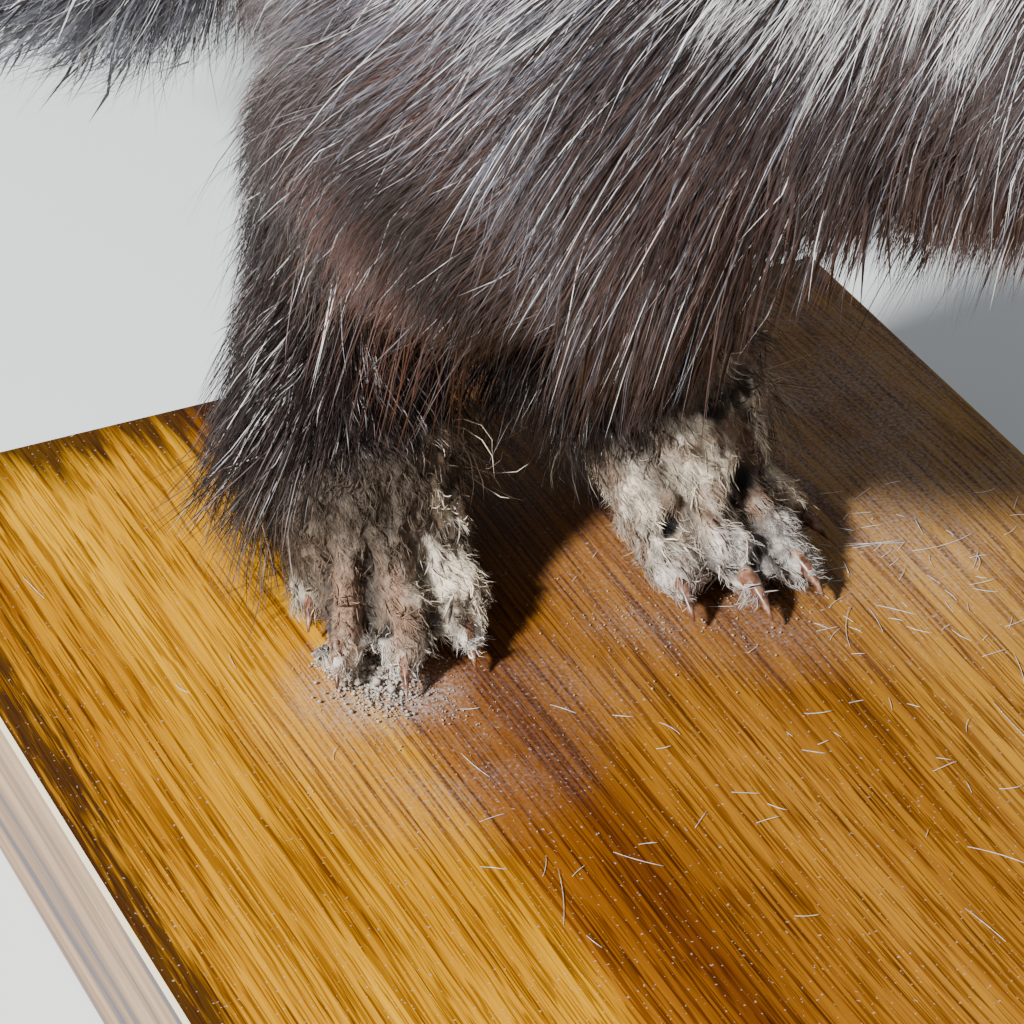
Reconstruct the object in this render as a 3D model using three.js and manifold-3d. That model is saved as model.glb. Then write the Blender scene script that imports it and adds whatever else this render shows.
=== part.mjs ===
// A life-size silver fox, mounted in a slow walk on a thick varnished board, as a museum shows it.
// Millimetres, +Z up. The origin is the middle of the board's underside and the board's length runs along X.
// The solids are the outline of the coat: every body part is a loft of ovals along a curved spine.
// The fox is modelled in a frame of its own: x forward, y to its left, z up from the board's top,
// with x = 0 between its hind feet. The whole fox is then turned and set on the board.
import * as THREE from "three";
import { mergeVertices } from "three/addons/utils/BufferGeometryUtils.js";
import Module from "manifold-3d";

const wasm = await Module();
wasm.setup();

// ---------- driving dimensions ----------
const BOARD = { length: 600, width: 310, thickness: 49, easedEdge: 1.2 };
const HEADING = 12; // degrees: the fox stands a little askew on its board
const HIND_FEET_AT = { x: -BOARD.length / 2 + 121, y: 1.6 }; // between the hind feet
const GAP = 0.35; // left between pieces that meet

// The middle of each paw, how far its toes point to the left of straight ahead, and which side it is on.
// slope is how far the instep of a hind foot slopes back from its paw, as a share of the stations below.
const HIND_PAWS = {
  hind_right: { x: -9, y: -40, turn: -32, side: -1, slope: 0.66, outerToe: [22, 6, 8] },
  hind_left: { x: 17, y: 40, turn: -9, side: 1, slope: 1, outerToe: [22, 13, 30] },
};
const FORE_PAWS = {
  fore_right: { x: 352, y: -36, turn: -6, side: -1 },
  fore_left: { x: 320, y: 38, turn: 5, side: 1 },
};

const HEAD = { x: 464, y: -8, z: 442, yaw: -16, nod: 9 }; // middle of the skull, and how the head is turned
const EYE = { x: 38, y: 23, z: 8, radius: 8.2 };
const EAR = { x: -14, y: 33, z: 34, height: 85, base: 56, cup: 14, wall: 4, lean: 13, back: 7, turn: 24 };

// Stations of a loft: x, y, z of the spine, half the width across, half the depth.
const TRUNK = [
  [-8, 0, 302, 42, 50],
  [20, 0, 301, 64, 76],
  [75, 0, 298, 73, 88],
  [140, 0, 294, 73, 93],
  [200, 0, 295, 72, 89],
  [260, 0, 298, 74, 89],
  [318, 0, 292, 82, 104],
  [368, 0, 301, 73, 92],
  [398, 0, 312, 48, 62],
];
const NECK = [
  [334, 0, 326, 70, 86],
  [382, 0, 362, 70, 80],
  [422, -3, 398, 66, 70],
  [450, -6, 428, 58, 56],
];
const TAIL = [
  [-6, 0, 318, 26, 26],
  [-36, 0, 300, 34, 34],
  [-76, 0, 252, 44, 44],
  [-116, 0, 198, 52, 52],
  [-166, 0, 148, 57, 57],
  [-230, 0, 120, 59, 59],
  [-298, 0, 112, 53, 53],
  [-352, 0, 118, 36, 36],
  [-384, 0, 123, 15, 15],
];
// The head has its own frame, at the middle of the skull: x towards the nose, z up.
const SKULL = [
  [-50, 0, -4, 40, 42],
  [-30, 0, -2, 63, 50],
  [-6, 0, -4, 72, 52],
  [15, 0, -4, 59, 43],
  [33, 0, -6, 39, 32],
  [50, 0, -13, 25, 23],
  [68, 0, -18, 20, 18],
  [86, 0, -20, 17, 15],
  [99, 0, -20, 12.5, 12],
];
const NOSE = [
  [96, 0, -14, 7, 5.5],
  [103, 0, -13.5, 9, 7],
  [108, 0, -14, 6.5, 5],
];
// Limbs, from the body down; y is measured outwards. The long coat of the thigh hangs as a skirt
// from the flank to the breeches, so its solid is wide and its lower edge is at the hair's tips.
const THIGH = [
  [44, 30, 322, 34, 62],
  [58, 42, 284, 41, 90],
  [69, 50, 240, 42, 111],
  [75, 54, 204, 37, 110],
  [82, 54, 174, 30, 92],
  [91, 53, 152, 20, 64],
];
const SHANK = [
  [56, 52, 168, 30, 46],
  [18, 48, 148, 31, 48],
];
const ANKLE = [
  [-40, 2, 122, 28, 40],
  [-62, 0, 104, 25, 32],
];
const HIND_FOOT = [
  [-70, -1, 116, 24, 26],
  [-62, 3, 86, 28, 31],
  [-44, 8, 57, 31, 33],
  [-20, 7, 33, 29, 29],
  [6, 0, 17, 22, 16],
];
const FORELEG = [
  [-2, 34, 292, 34, 54],
  [-14, 42, 242, 33, 46],
  [-10, 43, 196, 26, 31],
  [-2, 42, 146, 20, 23],
  [2, 41, 100, 18.5, 20],
  [2, 39, 62, 18.5, 19.5],
];
const FORE_FOOT = [
  [-17, 0, 74, 18, 19],
  [-13, 0, 46, 18.5, 19],
  [-4, 0, 25, 20, 19],
  [8, 0, 16, 20, 15],
];
const SHOULDER = { x: 336, z: 300 }; // a foreleg leans from here to its paw
const UNTURNED = 220; // the height at which a leg no longer turns with its toes

// Toes: offset across the paw towards its outer side, reach beyond its middle, and splay in degrees.
const FORE_TOES = [
  [-15.5, 24, -11],
  [-5.6, 34, -3],
  [5.6, 34, 3],
  [15.5, 24, 11],
];
const HIND_TOES = [
  [-13.5, 27, -8],
  [0, 36, 0],
  [13.5, 33, 6],
]; // and each hind paw's own outer toe
const TOE = { length: 30, height: 11, radius: 8.4, tip: 6.4 };
const CLAW = { length: 11, radius: 2.1, drop: 5.5 };

// ---------- shapes ----------
const SIDE = new THREE.Vector3(0, 1, 0);
const rad = THREE.MathUtils.degToRad;

// A closed tube of ovals along the stations' spine, with domed ends. grow makes it larger all over.
function loft(stations, { rings = 8, sides = 14, domeRings = 2, grow = 0, dome = 0.55 } = {}) {
  const curve = (points) => new THREE.CatmullRomCurve3(points.map((point) => new THREE.Vector3(...point)));
  const spine = curve(stations.map((station) => station.slice(0, 3)));
  const size = curve(stations.map(([, , , across, deep]) => [across + grow, deep + grow, 0]));
  const points = [];
  const ring = (t, angle, end) => {
    const along = spine.getTangent(t);
    const across = SIDE.clone().addScaledVector(along, -SIDE.dot(along)).normalize();
    const deep = along.clone().cross(across);
    const { x: a, y: b } = size.getPoint(t);
    const centre = spine.getPoint(t).addScaledVector(along, end * dome * Math.sin(angle) * Math.min(a, b));
    if (angle === Math.PI / 2) return points.push(centre);
    for (let s = 0; s < sides; s++) {
      const turn = (s / sides) * 2 * Math.PI;
      const [u, v] = [a * Math.cos(angle) * Math.cos(turn), b * Math.cos(angle) * Math.sin(turn)];
      points.push(centre.clone().addScaledVector(across, u).addScaledVector(deep, v));
    }
  };
  const domeAngle = (k) => ((k / (domeRings + 1)) * Math.PI) / 2;
  for (let k = domeRings; k > 0; k--) ring(0, domeAngle(k), -1);
  for (let k = 0; k <= rings; k++) ring(k / rings, 0, 0);
  for (let k = 1; k <= domeRings; k++) ring(1, domeAngle(k), 1);
  ring(0, Math.PI / 2, -1);
  ring(1, Math.PI / 2, 1);

  const [start, end] = [points.length - 2, points.length - 1];
  const last = start - sides;
  const faces = [];
  for (let s = 0; s < sides; s++) {
    const next = (s + 1) % sides;
    for (let row = 0; row < last; row += sides) {
      faces.push(row + s, row + next, row + sides + s, row + next, row + sides + next, row + sides + s);
    }
    faces.push(start, next, s, end, last + s, last + next);
  }
  return geometryOf(points, faces);
}

function geometryOf(points, faces) {
  const geometry = new THREE.BufferGeometry().setFromPoints(points);
  geometry.setIndex(faces);
  return geometry;
}

// A cupped, pointed ear standing on the XY plane and open towards +X; wall is its thickness.
function pinna({ height, base, cup, wall }, grow = 0) {
  const rows = 7;
  const columns = 6;
  const points = [];
  const outline = (u) => (base / 2) * (1 - u ** 1.9) ** 0.62 * (1 + 0.22 * Math.sin(Math.PI * Math.min(1, u * 1.5)));
  const layer = (offset) => {
    for (let r = 0; r < rows; r++) {
      const u = r / rows;
      for (let c = 0; c <= columns; c++) {
        const v = (c / columns) * 2 - 1;
        const half = outline(u) + grow;
        const depth = cup * (1 - u * 0.55);
        points.push(new THREE.Vector3(depth * (v * v - 1) + offset, half * v, height * u - 14 * (1 - u)));
      }
    }
    points.push(new THREE.Vector3(offset * 0.4, 0, height + grow));
  };
  layer(wall / 2 + grow);
  layer(-wall / 2 - grow);
  const size = rows * (columns + 1) + 1;
  const at = (side, r, c) => side * size + r * (columns + 1) + c;
  const faces = [];
  const quad = (a, b, c, d) => faces.push(a, b, c, a, c, d);
  for (let r = 0; r < rows - 1; r++) {
    for (let c = 0; c < columns; c++) {
      quad(at(0, r, c), at(0, r, c + 1), at(0, r + 1, c + 1), at(0, r + 1, c));
      quad(at(1, r, c), at(1, r + 1, c), at(1, r + 1, c + 1), at(1, r, c + 1));
    }
    quad(at(0, r, 0), at(0, r + 1, 0), at(1, r + 1, 0), at(1, r, 0));
    quad(at(0, r, columns), at(1, r, columns), at(1, r + 1, columns), at(0, r + 1, columns));
  }
  const [frontTip, backTip] = [size - 1, 2 * size - 1];
  for (let c = 0; c < columns; c++) {
    faces.push(at(0, rows - 1, c), at(0, rows - 1, c + 1), frontTip);
    faces.push(at(1, rows - 1, c + 1), at(1, rows - 1, c), backTip);
    quad(at(0, 0, c + 1), at(0, 0, c), at(1, 0, c), at(1, 0, c + 1));
  }
  quad(at(0, rows - 1, 0), frontTip, backTip, at(1, rows - 1, 0));
  quad(at(0, rows - 1, columns), at(1, rows - 1, columns), backTip, frontTip);
  return geometryOf(points, faces);
}

// ---------- joining and cutting ----------
function solid(geometry) {
  const bare = geometry.clone();
  bare.deleteAttribute("normal");
  bare.deleteAttribute("uv");
  const merged = mergeVertices(bare, 1e-3);
  return new wasm.Manifold(
    new wasm.Mesh({
      numProp: 3,
      vertProperties: new Float32Array(merged.attributes.position.array),
      triVerts: new Uint32Array(merged.index.array),
    }),
  );
}

const joined = (solids) => solids.reduce((whole, next) => whole.add(next));

// What the cutters leave of a solid: its one large piece.
function cut(whole, ...cutters) {
  const left = cutters.reduce((rest, cutter) => rest.subtract(cutter), whole);
  return left.decompose().sort((a, b) => b.volume() - a.volume())[0];
}

function part(name, shape, material) {
  const { vertProperties, triVerts } = shape.getMesh();
  const geometry = new THREE.BufferGeometry();
  geometry.setAttribute("position", new THREE.BufferAttribute(new Float32Array(vertProperties), 3));
  geometry.setIndex(new THREE.BufferAttribute(new Uint32Array(triVerts), 1));
  geometry.computeVertexNormals();
  const mesh = new THREE.Mesh(geometry, material);
  mesh.name = name;
  return mesh;
}

// Everything under the board's top, which a paw is cut flat by.
const BELOW = solid(new THREE.BoxGeometry(2000, 2000, 100).translate(0, 0, -50));

// ---------- materials ----------
const standard = (color, roughness, metalness = 0) =>
  new THREE.MeshStandardMaterial({ color, roughness, metalness });
const darkFur = standard(0x2c2423, 0.75);
const silverFur = standard(0x6e6b6c, 0.7);
const pawFur = standard(0x8b7a68, 0.85);
const noseLeather = standard(0x15120f, 0.45);
const eyeGlass = standard(0x6b3a0c, 0.08);
const varnishedWood = standard(0x9a5f1c, 0.3);

// ---------- the fox ----------
const onHead = new THREE.Matrix4()
  .makeTranslation(HEAD.x, HEAD.y, HEAD.z)
  .multiply(new THREE.Matrix4().makeRotationZ(rad(HEAD.yaw)))
  .multiply(new THREE.Matrix4().makeRotationY(rad(HEAD.nod)));

const skull = (grow = 0) => solid(loft(SKULL, { rings: 13, sides: 16, grow }).applyMatrix4(onHead));
const nosePad = (grow = 0) => solid(loft(NOSE, { rings: 3, sides: 10, grow }).applyMatrix4(onHead));
const eyeball = (side, grow = 0) =>
  solid(
    new THREE.SphereGeometry(EYE.radius + grow, 10, 7)
      .translate(EYE.x, side * EYE.y, EYE.z)
      .applyMatrix4(onHead),
  );
const pinnaOf = (side) =>
  solid(
    pinna(EAR)
      .applyMatrix4(new THREE.Matrix4().makeRotationZ(rad(side * EAR.turn)))
      .applyMatrix4(new THREE.Matrix4().makeRotationY(rad(-EAR.back)))
      .applyMatrix4(new THREE.Matrix4().makeRotationX(rad(-side * EAR.lean)))
      .translate(EAR.x, side * EAR.y, EAR.z)
      .applyMatrix4(onHead),
  );

// Places a shape made in a foot's own frame, with x towards the toes, at its paw.
function atPaw({ x, y, turn }) {
  return new THREE.Matrix4().makeTranslation(x, y, 0).multiply(new THREE.Matrix4().makeRotationZ(rad(turn)));
}

// Stations made in a paw's own frame, turned with its toes, less so the higher they are.
function onPaw({ x, y, turn, side, slope = 1 }, stations) {
  return stations.map(([sx, sy, sz, across, deep]) => {
    const eased = atPaw({ x, y, turn: turn * (1 - sz / UNTURNED) });
    const { x: px, y: py } = new THREE.Vector3(sx * slope, side * sy, 0).applyMatrix4(eased);
    return [px, py, sz, across, deep];
  });
}

// Toes with their claws, spread in front of the paw's middle.
function toes(places, side) {
  return places.flatMap(([across, reach, splay]) => {
    const toe = loft(
      [
        [reach - TOE.length, 0, TOE.height + 5, TOE.radius, TOE.radius + 1],
        [reach - 12, 0, TOE.height + 1, TOE.radius, TOE.radius],
        [reach, 0, TOE.tip, TOE.tip, TOE.tip],
      ],
      { rings: 2, sides: 7, domeRings: 1 },
    );
    const claw = loft(
      [
        [reach - 2, 0, TOE.tip + 4, CLAW.radius, CLAW.radius],
        [reach + 5, 0, TOE.tip + 2.8, CLAW.radius * 0.8, CLAW.radius],
        [reach + CLAW.length, 0, TOE.tip + 4 - CLAW.drop, 0.6, 0.7],
      ],
      { rings: 2, sides: 4, domeRings: 0 },
    );
    const place = atPaw({ x: 0, y: side * across, turn: side * splay });
    return [toe.applyMatrix4(place), claw.applyMatrix4(place)];
  });
}

// A whole foot on the board: its underside is cut flat, and what fits it to the leg is cut away.
function foot(paw, stations, places, leg) {
  const instep = solid(loft(onPaw(paw, stations), { rings: 5, sides: 14, domeRings: 1 }));
  const digits = toes(places, paw.side).map((shape) => solid(shape.applyMatrix4(atPaw(paw))));
  return cut(joined([instep, ...digits]), BELOW, leg);
}

const fox = new THREE.Group();

const trunk = (grow = 0) => solid(loft(TRUNK, { rings: 13, sides: 18, grow }));
const neck = solid(loft(NECK, { rings: 5, sides: 14 }));
const tail = solid(loft(TAIL, { rings: 13, sides: 12, dome: 0.9 }));
fox.add(part("trunk", trunk(), silverFur));
fox.add(part("neck", cut(neck, trunk(GAP), skull(GAP)), darkFur));
fox.add(part("tail", cut(tail, trunk(GAP)), darkFur));

fox.add(part("head", cut(skull(), nosePad(GAP), eyeball(-1, GAP), eyeball(1, GAP)), darkFur));
fox.add(part("nose", nosePad(), noseLeather));
for (const [name, side] of Object.entries({ right: -1, left: 1 })) {
  fox.add(part("eye_" + name, eyeball(side), eyeGlass));
  fox.add(part("ear_" + name, cut(pinnaOf(side), skull(GAP)), darkFur));
}

for (const [name, paw] of Object.entries(HIND_PAWS)) {
  const outward = ([x, y, ...rest]) => [x, paw.side * y, ...rest];
  const calf = [...SHANK.map(outward), ...onPaw(paw, ANKLE)];
  const thigh = (grow = 0) => solid(loft(THIGH.map(outward), { rings: 7, sides: 16, grow }));
  const shank = (grow = 0) => solid(loft(calf, { rings: 5, grow }));
  fox.add(part(name + "_thigh", cut(thigh(), trunk(GAP)), darkFur));
  fox.add(part(name + "_shank", cut(shank(), thigh(GAP), trunk(GAP)), darkFur));
  fox.add(part(name + "_foot", foot(paw, HIND_FOOT, [...HIND_TOES, paw.outerToe], shank(GAP)), pawFur));
}

for (const [name, paw] of Object.entries(FORE_PAWS)) {
  const stations = FORELEG.map(([x, y, z, across, deep]) => {
    const lean = 1 - z / SHOULDER.z;
    return [SHOULDER.x + x + (paw.x - SHOULDER.x) * lean, paw.side * y, z, across, deep];
  });
  const leg = (grow = 0) => solid(loft(stations, { rings: 8, sides: 12, grow }));
  fox.add(part(name + "_leg", cut(leg(), trunk(GAP)), darkFur));
  fox.add(part(name + "_foot", foot(paw, FORE_FOOT, FORE_TOES, leg(GAP)), darkFur));
}

fox.rotation.z = rad(HEADING);
fox.position.set(HIND_FEET_AT.x, HIND_FEET_AT.y, BOARD.thickness + GAP);

// ---------- the board ----------
function boardShape({ length, width, thickness, easedEdge: edge }) {
  const outline = new THREE.Shape();
  const [x, y] = [length / 2 - edge, width / 2 - edge];
  outline.moveTo(-x, -y).lineTo(x, -y).lineTo(x, y).lineTo(-x, y).closePath();
  return new THREE.ExtrudeGeometry(outline, {
    depth: thickness - 2 * edge,
    bevelThickness: edge,
    bevelSize: edge,
    bevelSegments: 1,
  }).translate(0, 0, edge);
}

const board = part("base_board", solid(boardShape(BOARD)), varnishedWood);

const mount = new THREE.Group();
mount.add(board, fox);

export default mount;
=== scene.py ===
"""A mounted silver fox on its varnished board: skin, coat, eyes, claws, wood, light and camera."""

import math

import bmesh
import bpy
import numpy as np
from mathutils import Matrix, Vector, noise
from mathutils.bvhtree import BVHTree


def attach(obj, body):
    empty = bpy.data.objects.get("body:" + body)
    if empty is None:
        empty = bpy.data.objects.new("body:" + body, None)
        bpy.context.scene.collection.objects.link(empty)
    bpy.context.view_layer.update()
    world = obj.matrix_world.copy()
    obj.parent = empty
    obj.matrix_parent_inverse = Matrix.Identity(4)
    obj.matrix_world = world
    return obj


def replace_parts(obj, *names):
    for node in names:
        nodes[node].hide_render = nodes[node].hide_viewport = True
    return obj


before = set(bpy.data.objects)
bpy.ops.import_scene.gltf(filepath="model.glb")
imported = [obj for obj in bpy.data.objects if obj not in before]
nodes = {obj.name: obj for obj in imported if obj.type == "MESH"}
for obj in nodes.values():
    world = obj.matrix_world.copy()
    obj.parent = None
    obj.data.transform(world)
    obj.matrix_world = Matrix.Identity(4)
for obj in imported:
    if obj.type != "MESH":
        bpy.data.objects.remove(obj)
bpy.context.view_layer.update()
rng = np.random.default_rng(11)
noise.seed_set(11)

# ---------------------------------------------------------------- frames
MM = 0.001
HEADING = math.radians(12)
FOX_AT = np.array([-0.179, 0.0016, 0.04935])
HEAD_AT = np.array([464.0, -8.0, 442.0])
BOARD = (0.600, 0.310, 0.049)


def cols(*columns):
    """Rows of points from their columns, each an array or one number."""
    return np.stack(np.broadcast_arrays(*columns), -1).astype(float)


def spin_z(v, angle):
    c, s = math.cos(angle), math.sin(angle)
    return cols(c * v[:, 0] - s * v[:, 1], s * v[:, 0] + c * v[:, 1], v[:, 2])


def fox_to_row(p):
    return spin_z(np.atleast_2d(np.asarray(p, float)), HEADING) * MM + FOX_AT


def row_to_fox(p):
    return spin_z((np.atleast_2d(p) - FOX_AT) / MM, -HEADING)


HEAD_TURN = np.array(Matrix.Rotation(math.radians(-16), 3, "Z") @ Matrix.Rotation(math.radians(9), 3, "Y"))


def head_to_fox(p):
    return np.atleast_2d(np.asarray(p, float)) @ HEAD_TURN.T + HEAD_AT


def fox_to_head(p):
    return (np.atleast_2d(p) - HEAD_AT) @ HEAD_TURN


def unit(v):
    return v / np.maximum(np.linalg.norm(v, axis=-1, keepdims=True), 1e-9)


def smooth(x, a, b):
    """Nothing before a, one past b, and an even rise between."""
    t = np.clip((x - a) / (b - a), 0, 1)
    return t * t * (3 - 2 * t)


def ridge(x, middle, width):
    """One at the middle, falling off like a bell."""
    return np.exp(-(((x - middle) / width) ** 2))


# Paws in the fox's frame: x, y and turn in degrees.
PAWS = {
    "hind_right": (-9, -40, -32),
    "hind_left": (17, 40, -9),
    "fore_right": (352, -36, -6),
    "fore_left": (320, 38, 5),
}
# Toes: place across the paw towards its outer side, reach and splay, as in the solids.
FORE_TOES = [(-15.5, 24, -11), (-5.6, 34, -3), (5.6, 34, 3), (15.5, 24, 11)]
HIND_TOES = [(-13.5, 27, -8), (0, 36, 0), (13.5, 33, 6)]
TOES = {
    "hind_right": HIND_TOES + [(22, 6, 8)],
    "hind_left": HIND_TOES + [(22, 13, 30)],
    "fore_right": FORE_TOES,
    "fore_left": FORE_TOES,
}
EYE = {"x": 38.0, "y": 23.0, "z": 8.0, "r": 8.2}


def eye_frame(s):
    """An eye's middle, its gaze and the ways across and up from it, in the head's frame; s is -1 or 1."""
    gaze = unit(np.array([0.70, 0.70 * s, 0.14]))
    across = unit(np.cross([0, 0, 1.0], gaze))
    return np.array([EYE["x"], EYE["y"] * s, EYE["z"]]), gaze, across, np.cross(gaze, across)


def outward(name):
    return -1 if name.endswith("right") else 1


def paw_to_fox(p, name):
    """From a paw's own frame: ahead, outward, up."""
    x, y, turn = PAWS[name]
    q = np.atleast_2d(np.asarray(p, float)) * [1, outward(name), 1]
    return spin_z(q, math.radians(turn)) + [x, y, 0]


def fox_to_paw(p, name):
    x, y, turn = PAWS[name]
    return spin_z(p - [x, y, 0], -math.radians(turn)) * [1, outward(name), 1]


TAIL = np.array(
    [[-6, 0, 318], [-36, 0, 300], [-76, 0, 252], [-116, 0, 198], [-166, 0, 148],
     [-230, 0, 120], [-298, 0, 112], [-352, 0, 118], [-390, 0, 124]], float)


# ---------------------------------------------------------------- meshes
def mesh_of(name, co, faces):
    """A smooth mesh of faces that all have the same number of corners."""
    faces = np.asarray(faces, np.int32)
    me = bpy.data.meshes.new(name)
    me.vertices.add(len(co))
    me.vertices.foreach_set("co", np.ascontiguousarray(co, np.float32).ravel())
    me.loops.add(faces.size)
    me.loops.foreach_set("vertex_index", faces.ravel())
    me.polygons.add(len(faces))
    me.polygons.foreach_set("loop_start", np.arange(0, faces.size, faces.shape[1], dtype=np.int32))
    me.update(calc_edges=True)
    me.shade_smooth()
    return me


def object_of(name, me, mat, slot=None):
    """A piece on the part's one body, or, without a slot, on the stage."""
    ob = bpy.data.objects.new(name, me)
    bpy.context.scene.collection.objects.link(ob)
    me.materials.append(mat)
    if slot:
        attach(ob, "root")
    return ob


def read(items, attribute, width, kind=np.float32):
    """An attribute of a mesh's vertices, edges or corners, a row for each."""
    out = np.empty(len(items) * width, kind)
    items.foreach_get(attribute, out)
    return out.reshape(-1, width)


def coords(me):
    return read(me.vertices, "co", 3).astype(float)


def triangles(me, attribute="vertices"):
    me.calc_loop_triangles()
    return read(me.loop_triangles, attribute, 3, np.int32)


def vertex_normals(co, tri):
    cross = np.cross(co[tri[:, 1]] - co[tri[:, 0]], co[tri[:, 2]] - co[tri[:, 0]])
    n = np.zeros_like(co)
    for k in range(3):
        for a in range(3):
            n[:, a] += np.bincount(tri[:, k], cross[:, a], len(co))
    return unit(n)


def paint(me, name, rgb):
    layer = me.color_attributes.new(name, "FLOAT_COLOR", "POINT")
    rgba = np.ones((len(rgb), 4), np.float32)
    rgba[:, :3] = rgb
    layer.data.foreach_set("color", rgba.ravel())


# ---------------------------------------------------------------- the skin
FLESH = sorted(set(nodes) - {"base_board", "eye_left", "eye_right", "nose"})


def node_arrays(name):
    me = nodes[name].data
    co, tri = coords(me), triangles(me)
    _, first, back = np.unique(np.round(co * 1e5), axis=0, return_index=True, return_inverse=True)
    return co[first], back.ravel()[tri]


def flesh_blank():
    """The flesh nodes swollen by a hair so that they overlap, in one mesh, and each triangle's node."""
    cos, tris, owner, base = [], [], [], 0
    for k, name in enumerate(FLESH):
        co, tri = node_arrays(name)
        by = 1.3 * MM if name.startswith("ear") else 0.7 * MM
        cos.append(co + vertex_normals(co, tri) * by)
        tris.append(tri + base)
        owner.append(np.full(len(tri), k))
        base += len(co)
    return np.concatenate(cos), np.concatenate(tris), np.concatenate(owner)


blank_co, blank_tri, blank_owner = flesh_blank()
blank = bpy.data.objects.new("blank", mesh_of("blank", blank_co, blank_tri))
bpy.context.scene.collection.objects.link(blank)
remesh = blank.modifiers.new("voxels", "REMESH")
remesh.mode = "VOXEL"
remesh.voxel_size = 3.8 * MM
depsgraph = bpy.context.evaluated_depsgraph_get()
skin_me = bpy.data.meshes.new_from_object(blank.evaluated_get(depsgraph))
bpy.data.objects.remove(blank)


def refine(me, wanted):
    """Cuts in four the faces whose middles are wanted."""
    bm = bmesh.new()
    bm.from_mesh(me)
    middles = np.array([f.calc_center_median()[:] for f in bm.faces])
    keep = wanted(row_to_fox(middles))
    edges = {e for f, k in zip(bm.faces, keep) if k for e in f.edges}
    bmesh.ops.subdivide_edges(bm, edges=list(edges), cuts=1, use_grid_fill=True)
    bmesh.ops.triangulate(bm, faces=[f for f in bm.faces if len(f.verts) > 4])
    bm.to_mesh(me)
    bm.free()


def worn_places(p):
    """The fore and upper faces of the hind paws."""
    inside = np.zeros(len(p), bool)
    for name in ("hind_right", "hind_left"):
        q = fox_to_paw(p, name)
        inside |= (q[:, 0] > -14) & (q[:, 0] < 50) & (np.abs(q[:, 1]) < 40) & (q[:, 2] > 2) & (q[:, 2] < 47)
    return inside


def fine_places(p):
    h = fox_to_head(p)
    face = (h[:, 0] > 14) & (np.abs(h[:, 1]) < 40) & (np.abs(h[:, 2] + 5) < 45)
    return face | worn_places(p)


refine(skin_me, fine_places)
refine(skin_me, worn_places)
co = coords(skin_me)
tri = triangles(skin_me)
edges = read(skin_me.edges, "vertices", 2, np.int32)
degree = np.bincount(edges.ravel(), minlength=len(co)).astype(float)


def neighbour_mean(x):
    x = x.reshape(len(co), -1)
    out = np.empty(x.shape)
    for k in range(x.shape[1]):
        out[:, k] = np.bincount(edges[:, 0], x[edges[:, 1], k], len(co))
        out[:, k] += np.bincount(edges[:, 1], x[edges[:, 0], k], len(co))
    return out / np.maximum(degree, 1)[:, None]


def relax(x, times, share=0.6):
    shape = x.shape
    x = x.reshape(len(co), -1).astype(float)
    share = np.broadcast_to(np.asarray(share, float).reshape(-1, 1), (len(co), 1))
    for _ in range(times):
        x = x + (neighbour_mean(x) - x) * share
    return x.reshape(shape)


blank_tree = BVHTree.FromPolygons(blank_co.tolist(), blank_tri.tolist())
nearest = np.array([blank_tree.find_nearest(Vector(p))[2] for p in co])
belongs = np.zeros((len(co), len(FLESH)))
belongs[np.arange(len(co)), blank_owner[nearest]] = 1
belongs = relax(belongs, 14, 0.7)


def part_weight(*words):
    return sum(belongs[:, k] for k, n in enumerate(FLESH) if any(w in n for w in words))


at_ear = part_weight("ear")
at_foot = part_weight("foot")
at_head = part_weight("head")

# Facets and steps are smoothed away, least where the shape is small.
fox = row_to_fox(co)
head = fox_to_head(fox)
toes_zone = at_foot * smooth(fox[:, 2], 40, 26)
firm = 0.97 * at_ear + 0.86 * toes_zone + 0.75 * at_head * smooth(head[:, 0], 5, 30)
softness = 0.62 * np.clip(1 - firm, 0.02, 1)
co = relax(co, 26, softness)
co = relax(co, 3, 0.5)

# How deep the coat is over the skin at each vertex, in millimetres.
DEPTH = {"trunk": 23, "neck": 24, "tail": 36, "thigh": 17, "shank": 13, "leg": 6, "foot": 3, "ear": 1.2,
         "head": 8}


def by_part(table):
    """A value per vertex from a value per kind of part."""
    out = np.zeros(len(co))
    for k, name in enumerate(FLESH):
        key = next(w for w in table if w in name)
        out += belongs[:, k] * table[key]
    return out


fox = row_to_fox(co)
head = fox_to_head(fox)
depth = by_part(DEPTH)
cheek = smooth(head[:, 0], 22, -6) * at_head
depth += cheek * 7 - at_head * smooth(head[:, 0], 34, 52) * 6.4 - at_head * smooth(head[:, 0], 10, 34) * 2
depth += at_foot * smooth(fox[:, 2], 45, 85) * 7 + part_weight("leg") * smooth(fox[:, 2], 170, 260) * 9
depth -= part_weight("foot") * smooth(fox[:, 2], 34, 14) * 1.2
normal = vertex_normals(co, tri)
tree = BVHTree.FromPolygons(co.tolist(), tri.tolist())
thick = np.full(len(co), 200.0)
for k, (p, n) in enumerate(zip(co, normal)):
    hit = tree.ray_cast(Vector(p - n * 0.0006), Vector(-n), 0.2)
    if hit[3] is not None:
        thick[k] = hit[3] / MM
thick = relax(thick, 6)
depth = relax(np.minimum(depth, 0.34 * thick), 12)
coat_depth = depth
co = co - relax(normal, 4) * depth[:, None] * MM
co = relax(co, 6, np.clip(softness, 0, 0.5))


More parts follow.
